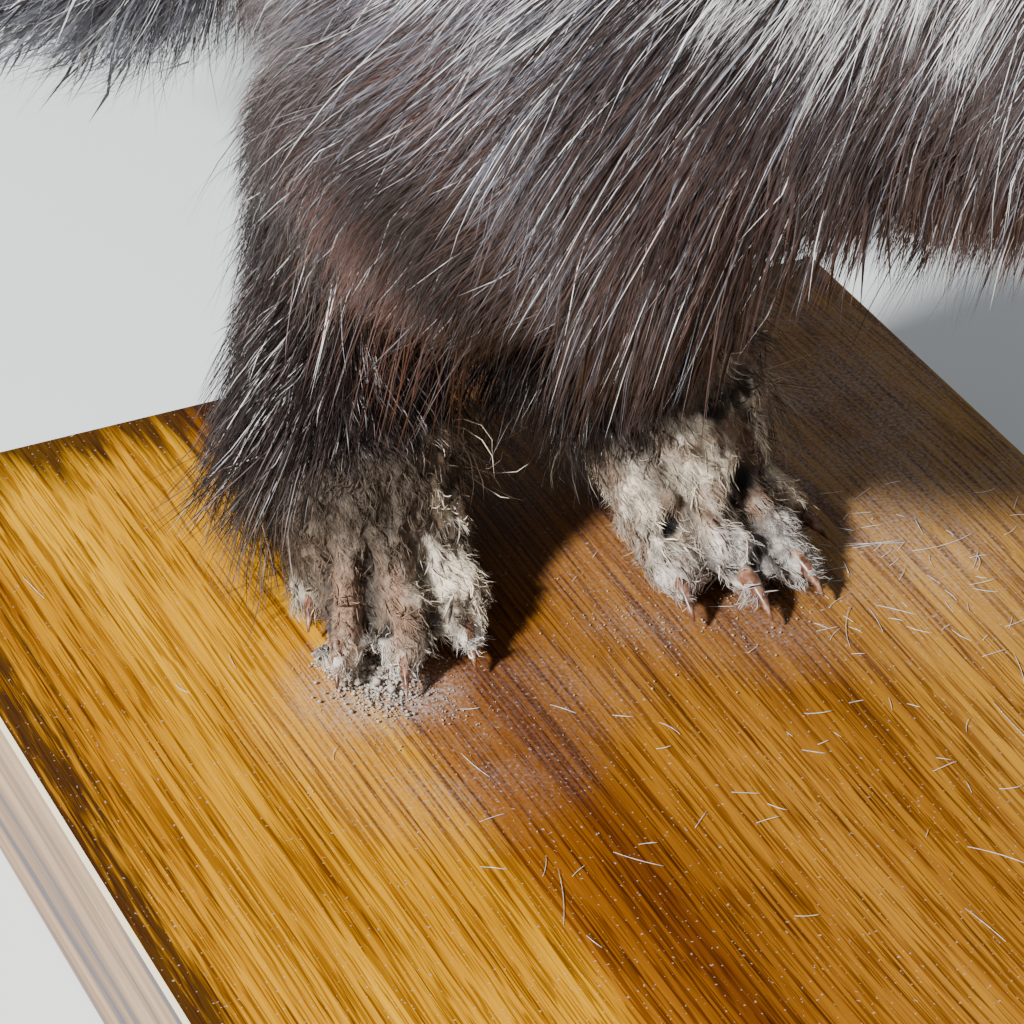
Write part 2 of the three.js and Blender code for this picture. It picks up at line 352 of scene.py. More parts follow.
# ---------------------------------------------------------------- face and paws on the skin
def carve_face():
    """Sockets for the eyes, the line of the mouth and a little brow."""
    global co
    h = fox_to_head(row_to_fox(co))
    n = fox_to_head(row_to_fox(co + vertex_normals(co, tri) * MM)) - h
    push = np.zeros(len(co))
    for s in (-1, 1):
        middle, gaze, across, up = eye_frame(s)
        d = h - middle
        a, b, c = d @ across, d @ up, d @ gaze
        tilt = b - 0.22 * a * -s
        r = np.sqrt((a / 8.6) ** 2 + (tilt / 5.6) ** 2)
        front = (c > -6) & (at_head > 0.3) & (r < 2.6)
        inside = front & (r < 1)
        surface = np.sqrt(np.maximum(EYE["r"] ** 2 - a * a - b * b, 0))
        push[inside] = np.minimum(0, (surface[inside] - 3.6) - c[inside])
        rim = front & ~inside
        want = surface[rim] + 0.8 - 1.6 * (r[rim] - 1)
        blend = smooth(r[rim], 1.9, 1.0)
        push[rim] = np.clip((want - c[rim]) * blend, -4, 4)
    h = h + n * push[:, None]
    line = -25.5 - 0.035 * (100 - h[:, 0]) + 1.2 * np.sin(np.clip((100 - h[:, 0]) / 62, 0, 1) * math.pi)
    off = np.abs(h[:, 2] - line)
    groove = smooth(off, 2.4, 0.4) * smooth(h[:, 0], 38, 44) * (at_head > 0.3)
    h = h - n * (groove * 1.5)[:, None]
    co = fox_to_row(head_to_fox(h))
    return groove


mouth = carve_face()


def noise_at(p, scale, seed=0.0, octaves=1):
    """Smooth noise at points given in millimetres, about -1 to 1."""
    total = np.zeros(len(p))
    for o in range(octaves):
        k = scale * 2**o
        shift = Vector((seed, seed * 1.7 + o, -seed))
        total += np.array([noise.noise(Vector(q) * k + shift) for q in p]) / 2**o
    return total


HIND = ("hind_right", "hind_left")
WORN_TO = {"hind_right": 52, "hind_left": 46}
# Pits torn in the hind paws: ahead, outward, up, radius and depth.
PITS = {
    "hind_right": [(31, 6.5, 14, 4.0, 4.5), (22, 7, 24, 3.0, 3.0), (20, -6.8, 20, 3.2, 3.5),
                   (-4, -12, 36, 3.5, 2.5)],
    "hind_left": [(34, -8, 10, 6.0, 7.0), (34, 7, 12, 6.0, 7.0), (14, -13, 20, 4.0, 4.5),
                  (14, 13, 27, 5.5, 5.0), (-2, -15, 24, 4.0, 3.0), (2, 7, 45, 5.0, 3.0)],
}


def tear_paws():
    """The worn hind paws: gaps between toes, felted lumps and torn pits, and painted shade in the gaps and
    pits.
    """
    fox_ = row_to_fox(co)
    push = np.zeros(len(co))
    worn_ = np.zeros(len(co))
    dark = np.zeros(len(co))
    for name in HIND:
        q = fox_to_paw(fox_, name)
        mine = part_weight(name + "_foot") > 0.35
        top = WORN_TO[name]
        low = mine * smooth(q[:, 2] - 0.7 * q[:, 1] * (name == "hind_left"), top + 5, top - 8)
        worn_ = np.maximum(worn_, low)
        where = np.flatnonzero(low > 0.02)
        f = fox_[where]
        lumps = noise_at(f, 0.11, 3.0, 2) * 1.5
        ridges = 1 - np.abs(noise_at(q[where] * [0.35, 1.6, 0.8], 0.16, 7.0, 2)) * 2
        push[where] += low[where] * (lumps + ridges * 1.1 + noise_at(f, 0.42, 12.0, 1) * 0.45)
        ends = sorted((across, splay) for across, _, splay in TOES[name])
        for (a0, s0), (a1, s1) in zip(ends, ends[1:]):
            middle = (a0 + a1) / 2 + q[:, 0] * math.tan(math.radians((s0 + s1) / 2))
            gap = ridge(q[:, 1], middle, 2.6) * low
            gap = gap * smooth(q[:, 0], 0, 14) * smooth(q[:, 2], 33, 22)
            push -= 3.2 * gap
            # Painted shade in the gaps between the toes.
            dark = np.maximum(dark, gap * 0.8)
        ragged = np.zeros(len(co))
        ragged[where] = noise_at(f, 0.22, 31.0, 2)
        for u, v, w, radius, deep in PITS[name]:
            r = np.linalg.norm(q - [u, v, w], axis=1) * (1 + 0.35 * ragged)
            pit = np.exp(-((r / radius) ** 2)) * mine
            push -= deep * pit
            # Painted shade in the pits.
            dark = np.maximum(dark, smooth(pit, 0.2, 0.75))
    moved = co + vertex_normals(co, tri) * (push * MM)[:, None]
    moved[:, 2] = np.maximum(moved[:, 2], FOX_AT[2] - 0.0003)
    return moved, worn_, dark


co, worn, pit_shade = tear_paws()
fox = row_to_fox(co)
head = fox_to_head(fox)
normal = vertex_normals(co, tri)


# ---------------------------------------------------------------- the lie of the coat
def heel_flare(q):
    """The outer side of the heel, where long dark hair stands out and down to the board."""
    return smooth(q[:, 1], 8, 20) * smooth(q[:, 0], 8, -8)


def lie_of_coat():
    x, y, z = fox.T
    s = np.sign(y)
    side = smooth(z, 372, 300)
    chest = smooth(x, 330, 395)
    rump = smooth(x, 30, -25)
    flows = {}
    under = smooth(z, 238, 205)
    down = (1.15 + 1.25 * smooth(x, 100, 200)) * side * (1 - 0.35 * under) + 0.9 * chest + 0.55 * rump
    flows["trunk"] = cols(-1 + 0.75 * chest, 0.12 * s * side, -down)
    steep = smooth(x, 60, 150)
    flows["thigh"] = cols(-0.78 + 0.30 * steep, 0.05 * s, -0.62 - 0.28 * steep)
    flows["shank"] = cols(-0.45, 0 * x, -0.9)
    throat = smooth(z, 400, 340)
    flows["neck"] = cols(-0.8 + 0.35 * throat, 0.1 * s, -0.55 - 0.4 * throat)
    step = TAIL[1:] - TAIL[:-1]
    t = ((fox[:, None] - TAIL[:-1]) * step).sum(2) / (step**2).sum(1)
    gap = np.linalg.norm(fox[:, None] - TAIL[:-1] - np.clip(t, 0, 1)[:, :, None] * step, axis=2)
    share = 1 / (gap + 8) ** 6
    flows["tail"] = (unit(step)[None] * share[:, :, None]).sum(1)
    flows["leg"] = cols(-0.16, 0 * x, -1)
    hx, hy, hz = head.T
    hs = np.sign(hy)
    jaw = smooth(hx, 30, -10)
    flows["head"] = cols(-1, 0.28 * hs * jaw, -0.3 * jaw * smooth(hz, 30, 0)) @ HEAD_TURN.T
    flows["ear"] = cols(-0.12, 0.12 * hs, 1) @ HEAD_TURN.T
    total = np.zeros_like(fox)
    for k, name in enumerate(FLESH):
        if "foot" in name:
            paw = name.rsplit("_", 1)[0]
            q = fox_to_paw(fox, paw)
            flare = heel_flare(q) * (paw == "hind_right")
            low = smooth(z, 62, 22) * (1 - flare)
            aside = 0.5 * smooth(q[:, 1], 10, 26) * (1 - low) * ("hind" in name)
            aside = aside * (1 - 0.8 * flare)
            ahead = cols(0.02 + 0.9 * low, (aside + 0.012 * q[:, 1] * low) * outward(paw), -1 + 0.72 * low)
            ahead = spin_z(ahead, math.radians(PAWS[paw][2]))
            total += unit(ahead) * belongs[:, k : k + 1]
        else:
            key = next(w for w in flows if w in name)
            total += unit(flows[key]) * belongs[:, k : k + 1]
    swirl = np.array([noise.noise_vector(Vector(p) * 0.014) for p in fox])
    fine = np.array([noise.noise_vector(Vector(p) * 0.05 + Vector((9, 4, 2))) for p in fox])
    total = unit(total) + 0.16 * swirl + 0.10 * fine
    return spin_z(relax(total, 5), HEADING)


flow = lie_of_coat()
flow = unit(flow - normal * (flow * normal).sum(1)[:, None])


class Lookup:
    """The nearest skin vertex to any point close to the skin, by cells."""

    def __init__(self, points, cell=4.0 * MM, reach=15):
        self.cell = cell
        self.low = points.min(0) - reach * cell
        size = ((points.max(0) - self.low) / cell).astype(int) + reach + 1
        self.size = size
        grid = np.full(size, -1, np.int32)
        at = self.cells(points)
        grid[at[:, 0], at[:, 1], at[:, 2]] = np.arange(len(points))
        for _ in range(reach):
            for axis in range(3):
                for way in (1, -1):
                    moved = np.roll(grid, way, axis)
                    np.copyto(grid, moved, where=(grid < 0) & (moved >= 0))
        self.grid = grid

    def cells(self, p):
        return np.clip(((p - self.low) / self.cell).astype(int), 0, np.array(self.size) - 1)

    def __call__(self, p):
        at = self.cells(p)
        return self.grid[at[:, 0], at[:, 1], at[:, 2]]


near_skin = Lookup(co)

# ---------------------------------------------------------------- markings, shared by skin and coat
BLACK = np.array([0.014, 0.011, 0.011])
UMBER = np.array([0.060, 0.036, 0.031])
RUST = np.array([0.135, 0.055, 0.037])
# SLATE, bluish grey: the painted sheen of the grey hairs, and on the tail part of its own tone.
SLATE = np.array([0.190, 0.195, 0.235])
SILVER = np.array([0.80, 0.79, 0.80])
CREAM = np.array([0.90, 0.80, 0.64])
DRAB = np.array([0.30, 0.225, 0.165])
TAN = np.array([0.36, 0.225, 0.150])
# DUN: a browner painted sheen for the grey hairs towards the rump.
DUN = np.array([0.240, 0.170, 0.145])
CHALK = np.array([0.85, 0.81, 0.77])


def mix(a, b, t):
    t = np.asarray(t)[:, None]
    return a * (1 - t) + b * t


patch = noise_at(fox, 0.011, 5.0, 2)
speck = noise_at(fox, 0.07, 8.0, 2)
KINDS = ("trunk", "neck", "tail", "thigh", "shank", "leg", "foot", "ear", "head")
weights = {w: part_weight(w) for w in KINDS}
tongue = smooth(speck, -0.30, 0.25)


def silver_line():
    """The height above which the guard hairs are white, lower where a tongue of them hangs."""
    x = fox[:, 0]
    return 266 + 24 * smooth(x, 112, 150) + 0.24 * (x - 150) * (x > 150) + 5 * patch - 15 * tongue


def paw_colours(base):
    """Cream, drab, tan and chalky patches on the worn hind paws."""
    for name in HIND:
        q = fox_to_paw(fox, name)
        blot = noise_at(fox, 0.060, 21.0 if name == "hind_left" else 27.0, 2)
        fleck = noise_at(q * [0.5, 1.5, 1], 0.30, 4.0, 1)
        pale = smooth(blot + 0.7 * fleck, -0.06, 0.24)
        if name == "hind_right":
            pale = np.clip(pale * smooth(q[:, 1], 1, -9) + 0.5 * smooth(q[:, 2], 14, 7), 0, 1)
            toe = np.maximum(ridge(q[:, 1], 14.5, 4.5), ridge(q[:, 1], 0.5, 4.2))
            toe = toe * smooth(q[:, 2] + 4 * fleck, 29, 19) * smooth(q[:, 0], 2, 10)
            tint = mix(mix(np.tile(DRAB * 0.45, (len(co), 1)), TAN * 0.9, np.clip(toe, 0, 1)), CREAM, pale)
            shade = 0.75 * smooth(q[:, 2] + 5 * fleck, 27, 37) * smooth(q[:, 1], -12, -6)
            tint = mix(tint, DRAB * 0.22, shade)
            chalk = smooth(q[:, 2] + 4 * fleck, 11, 5) * smooth(q[:, 0], 16, 24)
        else:
            pale = np.clip(pale + 0.35 * smooth(q[:, 1], -8, -14), 0, 1)
            brown = ridge(q[:, 1] - 0.25 * q[:, 0], -14, 3.0) * smooth(q[:, 2], 20, 26)
            tint = mix(np.tile(DRAB * 0.38, (len(co), 1)), CREAM, pale * (1 - 0.85 * brown))
            tint = mix(tint, TAN * 0.8, 0.65 * smooth(noise_at(fox, 0.11, 33.0, 2), 0.02, 0.24))
            chalk = 0.5 * smooth(q[:, 0] + 9 * fleck, 18, 27)
        tint = mix(tint, CHALK, chalk)
        base = mix(base, tint, worn * (part_weight(name + "_foot") > 0.35))
    return base


def markings():
    """The undercoat's colour, and the shares of white and of grey hairs, at each vertex; the grey hairs are
    mostly painted sheen.
    """
    x, y, z = fox.T
    base = mix(np.tile(BLACK, (len(co), 1)), UMBER, np.clip(0.5 + 0.5 * patch, 0, 1))
    body = np.clip(weights["trunk"] + weights["thigh"], 0, 1)
    line = silver_line()
    front = smooth(x, 115, 155)
    soft = 6 + 15 * (1 - front)
    above = smooth(z, line - soft, line + soft) * body * smooth(x, 395, 300)
    white = above * ((1 - front) * (0.60 + 0.20 * tongue) + front * (0.03 + 0.68 * tongue))
    white += 0.030 * body * (1 - above) * smooth(z, 190, 240) + 0.012 * body
    white += 0.10 * weights["neck"] + 0.02 * weights["shank"] + 0.02 * weights["foot"] * smooth(z, 40, 80)
    white += 0.05 * weights["head"] * smooth(head[:, 0], 45, 0) + 0.10 * weights["tail"]
    tip = weights["tail"] * smooth(x + 6 * speck, -292, -318)
    white = np.clip(white * (1 + 0.5 * speck) * (1 - tip) + tip * 0.97, 0, 1)
    # Grey hairs: painted sheen, the bluish glints of dark hair in strong light, most on the upper flank, the
    # rump and the lower legs; on the tail partly its own grey.
    grey = 0.74 * body * smooth(z, 192, 238) * (1 - 0.85 * smooth(x, 105, 160))
    grey += 0.50 * body * smooth(x, 75, 30) * smooth(z, 150, 190)
    grey += 0.12 * weights["shank"] + 0.50 * weights["tail"] + 0.06 * (weights["foot"] + weights["leg"])
    grey += 0.20 * weights["neck"] + 0.12 * weights["head"]
    grey = np.clip(grey * (1 + 0.5 * patch), 0, 0.85) * (1 - tip)
    spot = np.exp(-(np.linalg.norm((cols(x, np.abs(y), z) - [38, 66, 150]) / [22, 34, 24], axis=1) ** 2))
    rust = np.maximum(spot, 0.55 * body * smooth(z, 272, 222) * np.clip(0.55 + patch, 0, 1))
    base = mix(mix(base, RUST, rust), RUST * 1.9, 0.8 * spot)
    grey = grey * (1 - 0.8 * rust)
    base = mix(base, SLATE * 0.5, 0.5 * weights["tail"])
    base = mix(base, SILVER * 0.8, tip * 0.9)
    return paw_colours(base), white, grey


under, silver_share, grey_sheen_share = markings()
bare = np.clip(mouth * 1.6, 0, 1)
for s in (-1, 1):
    bare = np.maximum(bare, smooth(np.linalg.norm(head - eye_frame(s)[0], axis=1), 12.2, 10.4))
bare = np.maximum(bare, smooth(np.linalg.norm((head - [104, 0, -15]) / [1.2, 1, 1], axis=1), 13, 10))

# ---------------------------------------------------------------- materials
def material(name):
    mat = bpy.data.materials.new(name)
    mat.use_nodes = True
    tree = mat.node_tree
    tree.nodes.clear()
    out = tree.nodes.new("ShaderNodeOutputMaterial")
    shader = tree.nodes.new("ShaderNodeBsdfPrincipled")
    tree.links.new(shader.outputs[0], out.inputs[0])
    return mat, tree, shader


def node(tree, kind, inputs=(), **settings):
    n = tree.nodes.new("ShaderNode" + kind)
    for key, value in settings.items():
        setattr(n, key, value)
    for key, value in dict(inputs).items():
        if isinstance(value, bpy.types.NodeSocket):
            tree.links.new(value, n.inputs[key])
        else:
            n.inputs[key].default_value = value
    return n


def ramp(tree, fac, *stops):
    n = tree.nodes.new("ShaderNodeValToRGB")
    tree.links.new(fac, n.inputs[0])
    while len(n.color_ramp.elements) < len(stops):
        n.color_ramp.elements.new(0.5)
    for e, (at, colour) in zip(n.color_ramp.elements, stops):
        e.position = at
        e.color = (*colour, 1) if len(colour) == 3 else colour
    return n.outputs[0]


def blend(tree, kind, fac, a, b):
    return node(tree, "Mix", {0: fac, 6: a, 7: b}, data_type="RGBA", blend_type=kind).outputs[2]


def object_place(tree):
    return node(tree, "TexCoord").outputs["Object"]


def relief(tree, shader, height, strength, distance):
    bump = node(tree, "Bump", {"Height": height, "Strength": strength, "Distance": distance}).outputs[0]
    tree.links.new(bump, shader.inputs["Normal"])


def grained(name, grain, stops, painted=None, bump=None, pebbles=None, **sockets):
    """A material coloured by noise, times a painted colour if one is named, in relief by noise or pebbles."""
    mat, tree, shader = material(name)
    place = object_place(tree)
    noise_ = node(tree, "TexNoise", {"Vector": place, **grain}).outputs[0]
    tint = ramp(tree, noise_, *stops)
    if painted:
        tint = blend(tree, "MULTIPLY", 1.0, node(tree, "VertexColor", layer_name=painted).outputs[0], tint)
    tree.links.new(tint, shader.inputs["Base Color"])
    height = noise_
    if pebbles:
        height = node(tree, "TexVoronoi", {"Vector": place, "Scale": pebbles}).outputs["Distance"]
    if bump:
        relief(tree, shader, height, *bump)
    for key, value in sockets.items():
        shader.inputs[key.replace("_", " ")].default_value = value
    return mat


def hair_material(name, roughness, specular):
    stops = (0.3, (0.78, 0.78, 0.78)), (0.7, (1.2, 1.2, 1.2))
    return grained(name, {"Scale": 420.0, "Detail": 0.0}, stops, painted="Hair",
                   Roughness=roughness, Specular_IOR_Level=specular)


HAIR = hair_material("guard_hair", 0.30, 0.20)
WOOL = hair_material("worn_wool", 0.85, 0.15)
SKIN = grained("skin", {"Scale": 260.0, "Detail": 3.0, "Roughness": 0.7},
               ((0.32, (0.45, 0.42, 0.40)), (0.62, (1.15, 1.15, 1.15))),
               painted="Skin", bump=(0.7, 0.0012), Roughness=0.8)

skin_colour = mix(under, under * 0.55, 1 - worn)
# Painted shade in the torn pits and the gaps between the toes.
skin_colour = mix(skin_colour, BLACK * 0.6, pit_shade)
skin_colour = mix(skin_colour, np.array([0.012, 0.010, 0.010]), bare)
skin = object_of("fox_skin", skin_me, SKIN, "dark_fur")
skin_me.vertices.foreach_set("co", co.astype(np.float32).ravel())
skin_me.update()
skin_me.shade_smooth()
paint(skin_me, "Skin", skin_colour)
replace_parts(skin, *FLESH)


def unwrap(ob):
    bpy.ops.object.select_all(action="DESELECT")
    ob.select_set(True)
    bpy.context.view_layer.objects.active = ob
    ob.data.uv_layers.new(name="OFBake")
    bpy.ops.object.mode_set(mode="EDIT")
    bpy.ops.mesh.select_all(action="SELECT")
    bpy.ops.uv.smart_project(angle_limit=math.radians(60), island_margin=0.002)
    bpy.ops.object.mode_set(mode="OBJECT")


unwrap(skin)
tri_uv = read(skin_me.uv_layers["OFBake"].uv, "vector", 2)[triangles(skin_me, "loops")]
tri = triangles(skin_me)

# ---------------------------------------------------------------- growing the coat
LENGTH = {"trunk": 60, "neck": 54, "tail": 72, "thigh": 54, "shank": 34, "leg": 20, "foot": 7, "ear": 9,
          "head": 11}
WILD = {"trunk": 0.13, "neck": 0.16, "tail": 0.24, "thigh": 0.13, "shank": 0.14, "leg": 0.12, "foot": 0.16,
        "ear": 0.08, "head": 0.10}
length_at = by_part(LENGTH)
length_at += cheek * 28 - at_head * smooth(head[:, 0], 40, 60) * 5
length_at += at_foot * smooth(fox[:, 2], 42, 90) * 15 + part_weight("leg") * smooth(fox[:, 2], 160, 260) * 26
wild_at = by_part(WILD) + 0.34 * worn


def photo_side():
    """Where the coat is finest: the right thigh and flank, the hind legs, the root of the tail, the face."""
    x, y, z = fox.T
    right = smooth(y, 5, -25)
    flank = weights["trunk"] * right * smooth(x, 320, 270) * smooth(z, 350, 315)
    near = part_weight("hind_right") * (0.35 + 0.65 * right)
    far = part_weight("hind_left") * 0.6 * smooth(z, 185, 150) * smooth(y, 95, 70)
    brush = 0.75 * weights["tail"] * smooth(x, -215, -160)
    return np.maximum.reduce([flank, near, far, brush])


seen = np.clip(relax(photo_side(), 16), 0, 1)
focus_at = np.clip(seen + at_head * 0.5, 0, 1)


def roots_on(density):
    """Random places on the skin, with so many to the square millimetre at each vertex."""
    a, b, c = co[tri[:, 0]], co[tri[:, 1]], co[tri[:, 2]]
    area = np.linalg.norm(np.cross(b - a, c - a), axis=1) / 2 / MM**2
    want = area * density[tri].mean(1)
    count = rng.poisson(want)
    which = np.repeat(np.arange(len(tri)), count)
    u = rng.random((len(which), 2))
    u = np.where(u.sum(1)[:, None] > 1, 1 - u, u)
    bary = np.stack([1 - u.sum(1), u[:, 0], u[:, 1]], 1)
    corner = tri[which]
    pick = corner[np.arange(len(which)), bary.argmax(1)]
    place = (co[corner] * bary[:, :, None]).sum(1)
    uv = (tri_uv[which] * bary[:, :, None]).sum(1)
    return place, pick, uv


def comb(place, pick, length, height, wild, steps, sag, hug=True):
    """Each hair's path from its root: out of the skin, over along the lie of the coat, and down.

    A hair that doesn't hug the body hangs free once it is out."""
    n = len(place)
    stray = rng.normal(size=(n, 3)) * wild[:, None]
    path = np.empty((n, steps + 1, 3))
    path[:, 0] = place - normal[pick] * 0.0006
    here = pick
    p = path[:, 0].copy()
    for k in range(steps):
        s = (k + 0.5) / steps
        rise = np.clip(2 * height * (1 - s) / length, 0, 0.9)[:, None]
        d = flow[here] * np.sqrt(1 - rise**2) + normal[here] * rise + stray * (0.5 + s)
        d[:, 2] -= sag * s
        d = unit(d)
        p = p + d * (length / steps * MM)[:, None]
        if not hug:
            p[:, 2] = np.maximum(p[:, 2], FOX_AT[2] + 0.0008)
            path[:, k + 1] = p
            continue
        here = near_skin(p)
        lost = here < 0
        here[lost] = pick[lost]
        sunk = ((p - co[here]) * normal[here]).sum(1) / MM
        low = 0.35 * height * min(1, 2 * s) + 0.3
        p = p + normal[here] * (np.clip(low - sunk, 0, 4) * MM)[:, None]
        p[:, 2] = np.maximum(p[:, 2], FOX_AT[2] + 0.0008)
        path[:, k + 1] = p
    return path


def bunch(path, pull, spacing):
    """Draws the hairs' tips together into locks, one every so many millimetres."""
    cells = np.floor(path[:, 0] / (spacing * MM)).astype(np.int64)
    key = (cells * [73856093, 19349663, 83492791]).sum(1)
    _, first, group = np.unique(key, return_index=True, return_inverse=True)
    leader = path[first[group.ravel()]]
    steps = path.shape[1] - 1
    for k in range(1, steps + 1):
        path[:, k] = mix(path[:, k], leader[:, k], pull * (k / steps) ** 1.4)
    return path


def blades(path, half, colours, uv, sides=2):
    """Tapered blades along the paths: rings of 2 to 4 corners and a tip. Colours are root, middle, tip."""
    n, rings = path.shape[0], path.shape[1] - 1
    along = unit(np.gradient(path, axis=1))
    out = normal[near_skin(path[:, 0])][:, None]
    across = unit(np.cross(along, out))
    lift = np.cross(across, along)
    roll = rng.uniform(-0.9, 0.9, n)[:, None, None]
    wide = across * np.cos(roll) + lift * np.sin(roll)
    deep = np.cross(along, wide)
    s = np.linspace(0, 1, rings + 1)
    taper = (0.75 + 0.6 * s) * (1 - s) ** 0.65
    w = half[:, None] * MM * taper[None]
    if sides == 2:
        corners = [wide, -wide]
    elif sides == 3:
        corners = [wide, -0.5 * wide + 0.6 * deep, -0.5 * wide - 0.6 * deep]
    else:
        corners = [wide, 0.35 * deep, -wide, -0.35 * deep]
    ring_co = np.stack([path + c * w[:, :, None] for c in corners], 2)[:, :rings]
    verts = np.concatenate([ring_co.reshape(n, -1, 3), path[:, rings:]], 1)
    per = rings * sides + 1
    walls = range(sides if sides > 2 else 1)
    faces = []
    for k in range(rings - 1):
        for j in walls:
            i, m = k * sides + j, k * sides + (j + 1) % sides
            faces += [(i, m, m + sides), (i, m + sides, i + sides)]
    last = (rings - 1) * sides
    faces += [(last + j, last + (j + 1) % sides, per - 1) for j in walls]
    faces = (np.array(faces)[None] + (np.arange(n) * per)[:, None, None]).reshape(-1, 3)
    root, mid, tip = colours
    t = np.concatenate([np.repeat(s[:rings], sides), [1.0]])[None, :, None]
    first = root[:, None] * (1 - np.clip(t * 2, 0, 1)) + mid[:, None] * np.clip(t * 2, 0, 1)
    tint = first * (1 - np.clip(t * 2 - 1, 0, 1)) + tip[:, None] * np.clip(t * 2 - 1, 0, 1)
    side = np.concatenate([np.tile(np.linspace(-0.5, 0.5, sides), rings), [0.0]])
    patch_uv = np.stack([side, t[0, :, 0] - 0.5], 1) * 0.003
    uvs = uv[:, None] + patch_uv[None]
    return verts.reshape(-1, 3), faces, tint.reshape(-1, 3), uvs.reshape(-1, 2)


def coat_piece(name, mat, slot, verts, faces, tint, uvs):
    me = mesh_of(name, verts, faces)
    paint(me, "Hair", tint)
    layer = me.uv_layers.new(name="OFBake")
    layer.uv.foreach_set("vector", uvs[faces.ravel()].astype(np.float32).ravel())
    object_of(name, me, mat, slot)
    return len(faces)


REGIONS = {
    "head": ("head", "ear"), "neck": ("neck",), "trunk": ("trunk",), "tail": ("tail",),
    "hind_right": ("hind_right",), "hind_left": ("hind_left",), "fore": ("fore",),
}
region_at = np.stack([part_weight(*words) for words in REGIONS.values()], 1).argmax(1)
LIMIT = 190_000


def slot_of(label, region):
    """The record's material for a piece of the coat."""
    if label in ("mats", "fuzz"):
        return "worn_paw_fur"
    return "silver_fur" if region == "trunk" or label == "stray" else "dark_fur"


def grow(label, density, steps, sides, length, height, half, shade, pull, spacing, mat=HAIR, sag=0.25,
         hug=True):
    """A layer of the coat, in pieces by region, each under the limit."""
    place, pick, uv = roots_on(np.clip(density, 0, None))
    length, height, half, pull = (np.broadcast_to(v, len(co))[pick] for v in (length, height, half, pull))
    n = len(place)
    vary = rng.uniform(0.72, 1.15, n)
    long_ = length * vary
    high = height * rng.uniform(0.45, 1.02, n)
    wild = wild_at[pick] * np.minimum(1, 26 / long_ + 0.45)
    path = comb(place, pick, long_, high, wild, steps, sag * smooth(long_, 25, 60), hug)
    path = bunch(path, np.clip(pull * rng.uniform(0.6, 1.1, n), 0, 0.94), spacing)
    colours = shade(pick, n)
    made = 0
    triangles_each = (2 * steps - 1) * (sides if sides > 2 else 1)
    for r, name in enumerate(REGIONS):
        chosen = np.flatnonzero(region_at[pick] == r)
        pieces = math.ceil(len(chosen) * triangles_each / LIMIT)
        order = chosen[np.argsort(path[chosen, 0, 2])]
        for k, some in enumerate(np.array_split(order, pieces) if pieces else []):
            blade = blades(path[some], (half * vary)[some], [c[some] for c in colours], uv[some], sides)
            made += coat_piece(f"{label}_{name}_{k + 1}", mat, slot_of(label, name), *blade)
    print("coat", label, n, "hairs", made, "triangles")
    return made


def shaded(pick):
    """Painted shade: hair darker low on the body, except on the worn paws."""
    return np.maximum(0.42 + 0.58 * smooth(fox[pick, 2], 165, 245), worn[pick])


def wool_shade(pick, n):
    low = shaded(pick)
    dark = under[pick] * (low * rng.uniform(0.25, 0.5, n))[:, None]
    mid = under[pick] * (low * rng.uniform(0.45, 0.9, n))[:, None]
    # Tips turn bluish grey with the grey hairs' share: painted sheen.
    tip = mix(mid * 1.2, SLATE * rng.uniform(0.4, 0.8, n)[:, None], 0.6 * grey_sheen_share[pick])
    return dark, mid, tip


def guard_shade(pick, n):
    draw = rng.random(n)
    white = draw < silver_share[pick]
    # Grey hairs tipped slate are painted sheen of dark hair in strong light; towards the rump the sheen is
    # browner (DUN).
    grey = ~white & (draw < silver_share[pick] + (1 - silver_share[pick]) * grey_sheen_share[pick])
    own = np.where(worn[pick] > 0.3, 1, 0.75)
    dark = mix(np.tile(BLACK, (n, 1)), under[pick], own) * (shaded(pick) * rng.uniform(0.5, 1.35, n))[:, None]
    warm = 0.75 * smooth(fox[pick, 0], 62, 12) * smooth(fox[pick, 2], 330, 290) * (1 - weights["tail"][pick])
    slate = mix(np.tile(SLATE, (n, 1)), DUN, warm) * rng.uniform(0.35, 1.15, n)[:, None]
    pale = SILVER * rng.uniform(0.72, 1.15, n)[:, None]
    mid = np.where(white[:, None], mix(dark, pale, rng.uniform(0.35, 1, n)), dark)
    mid = np.where(grey[:, None], mix(dark, slate, rng.uniform(0.3, 0.8, n)), mid)
    tip = np.where(white[:, None], pale, np.where(grey[:, None], slate, dark * 1.3 + 0.003))
    return dark, mid, tip


def mat_shade(pick, n):
    tone = under[pick] * rng.uniform(0.65, 1.25, n)[:, None]
    return tone * 0.6, tone, tone * rng.uniform(0.8, 1.25, n)[:, None]


def white_shade(pick, n):
    pale = SILVER * rng.uniform(0.6, 1.1, n)[:, None]
    return pale * 0.4, pale, pale


covered = 1 - np.clip(bare, 0, 1)
face_on = spin_z((HEAD_TURN @ np.array([1.0, 0, 0]))[None], HEADING)
ear_front = at_ear * smooth((normal * face_on).sum(1), 0.1, 0.5)
covered = covered * (1 - 0.6 * ear_front)
short = smooth(length_at, 24, 12)
furred = covered * (1 - worn)

# Broad locks of undercoat, guard hairs, and fine hairs where the coat is finest.
total = grow("undercoat", furred * (0.043 + 0.027 * seen + 0.06 * short), 2, 2, length_at * 0.52,
             coat_depth * 0.6, 1.40 - 0.45 * seen - 0.55 * short, wool_shade, 0.2, 9.0)
total += grow("guard", furred * (0.135 + 0.22 * short) * (1 - focus_at), 3, 2, length_at, coat_depth,
              0.88 - 0.48 * short, guard_shade, 0.42, 9.0)
total += grow("fine", furred * (0.80 + 0.2 * short) * focus_at, 3, 2, length_at * 1.02, coat_depth * 1.05,
              0.17, guard_shade, 0.44 + 0.34 * smooth(silver_share, 0.3, 0.7) * smooth(fox[:, 0], 105, 150),
              7.0, sag=0.12)

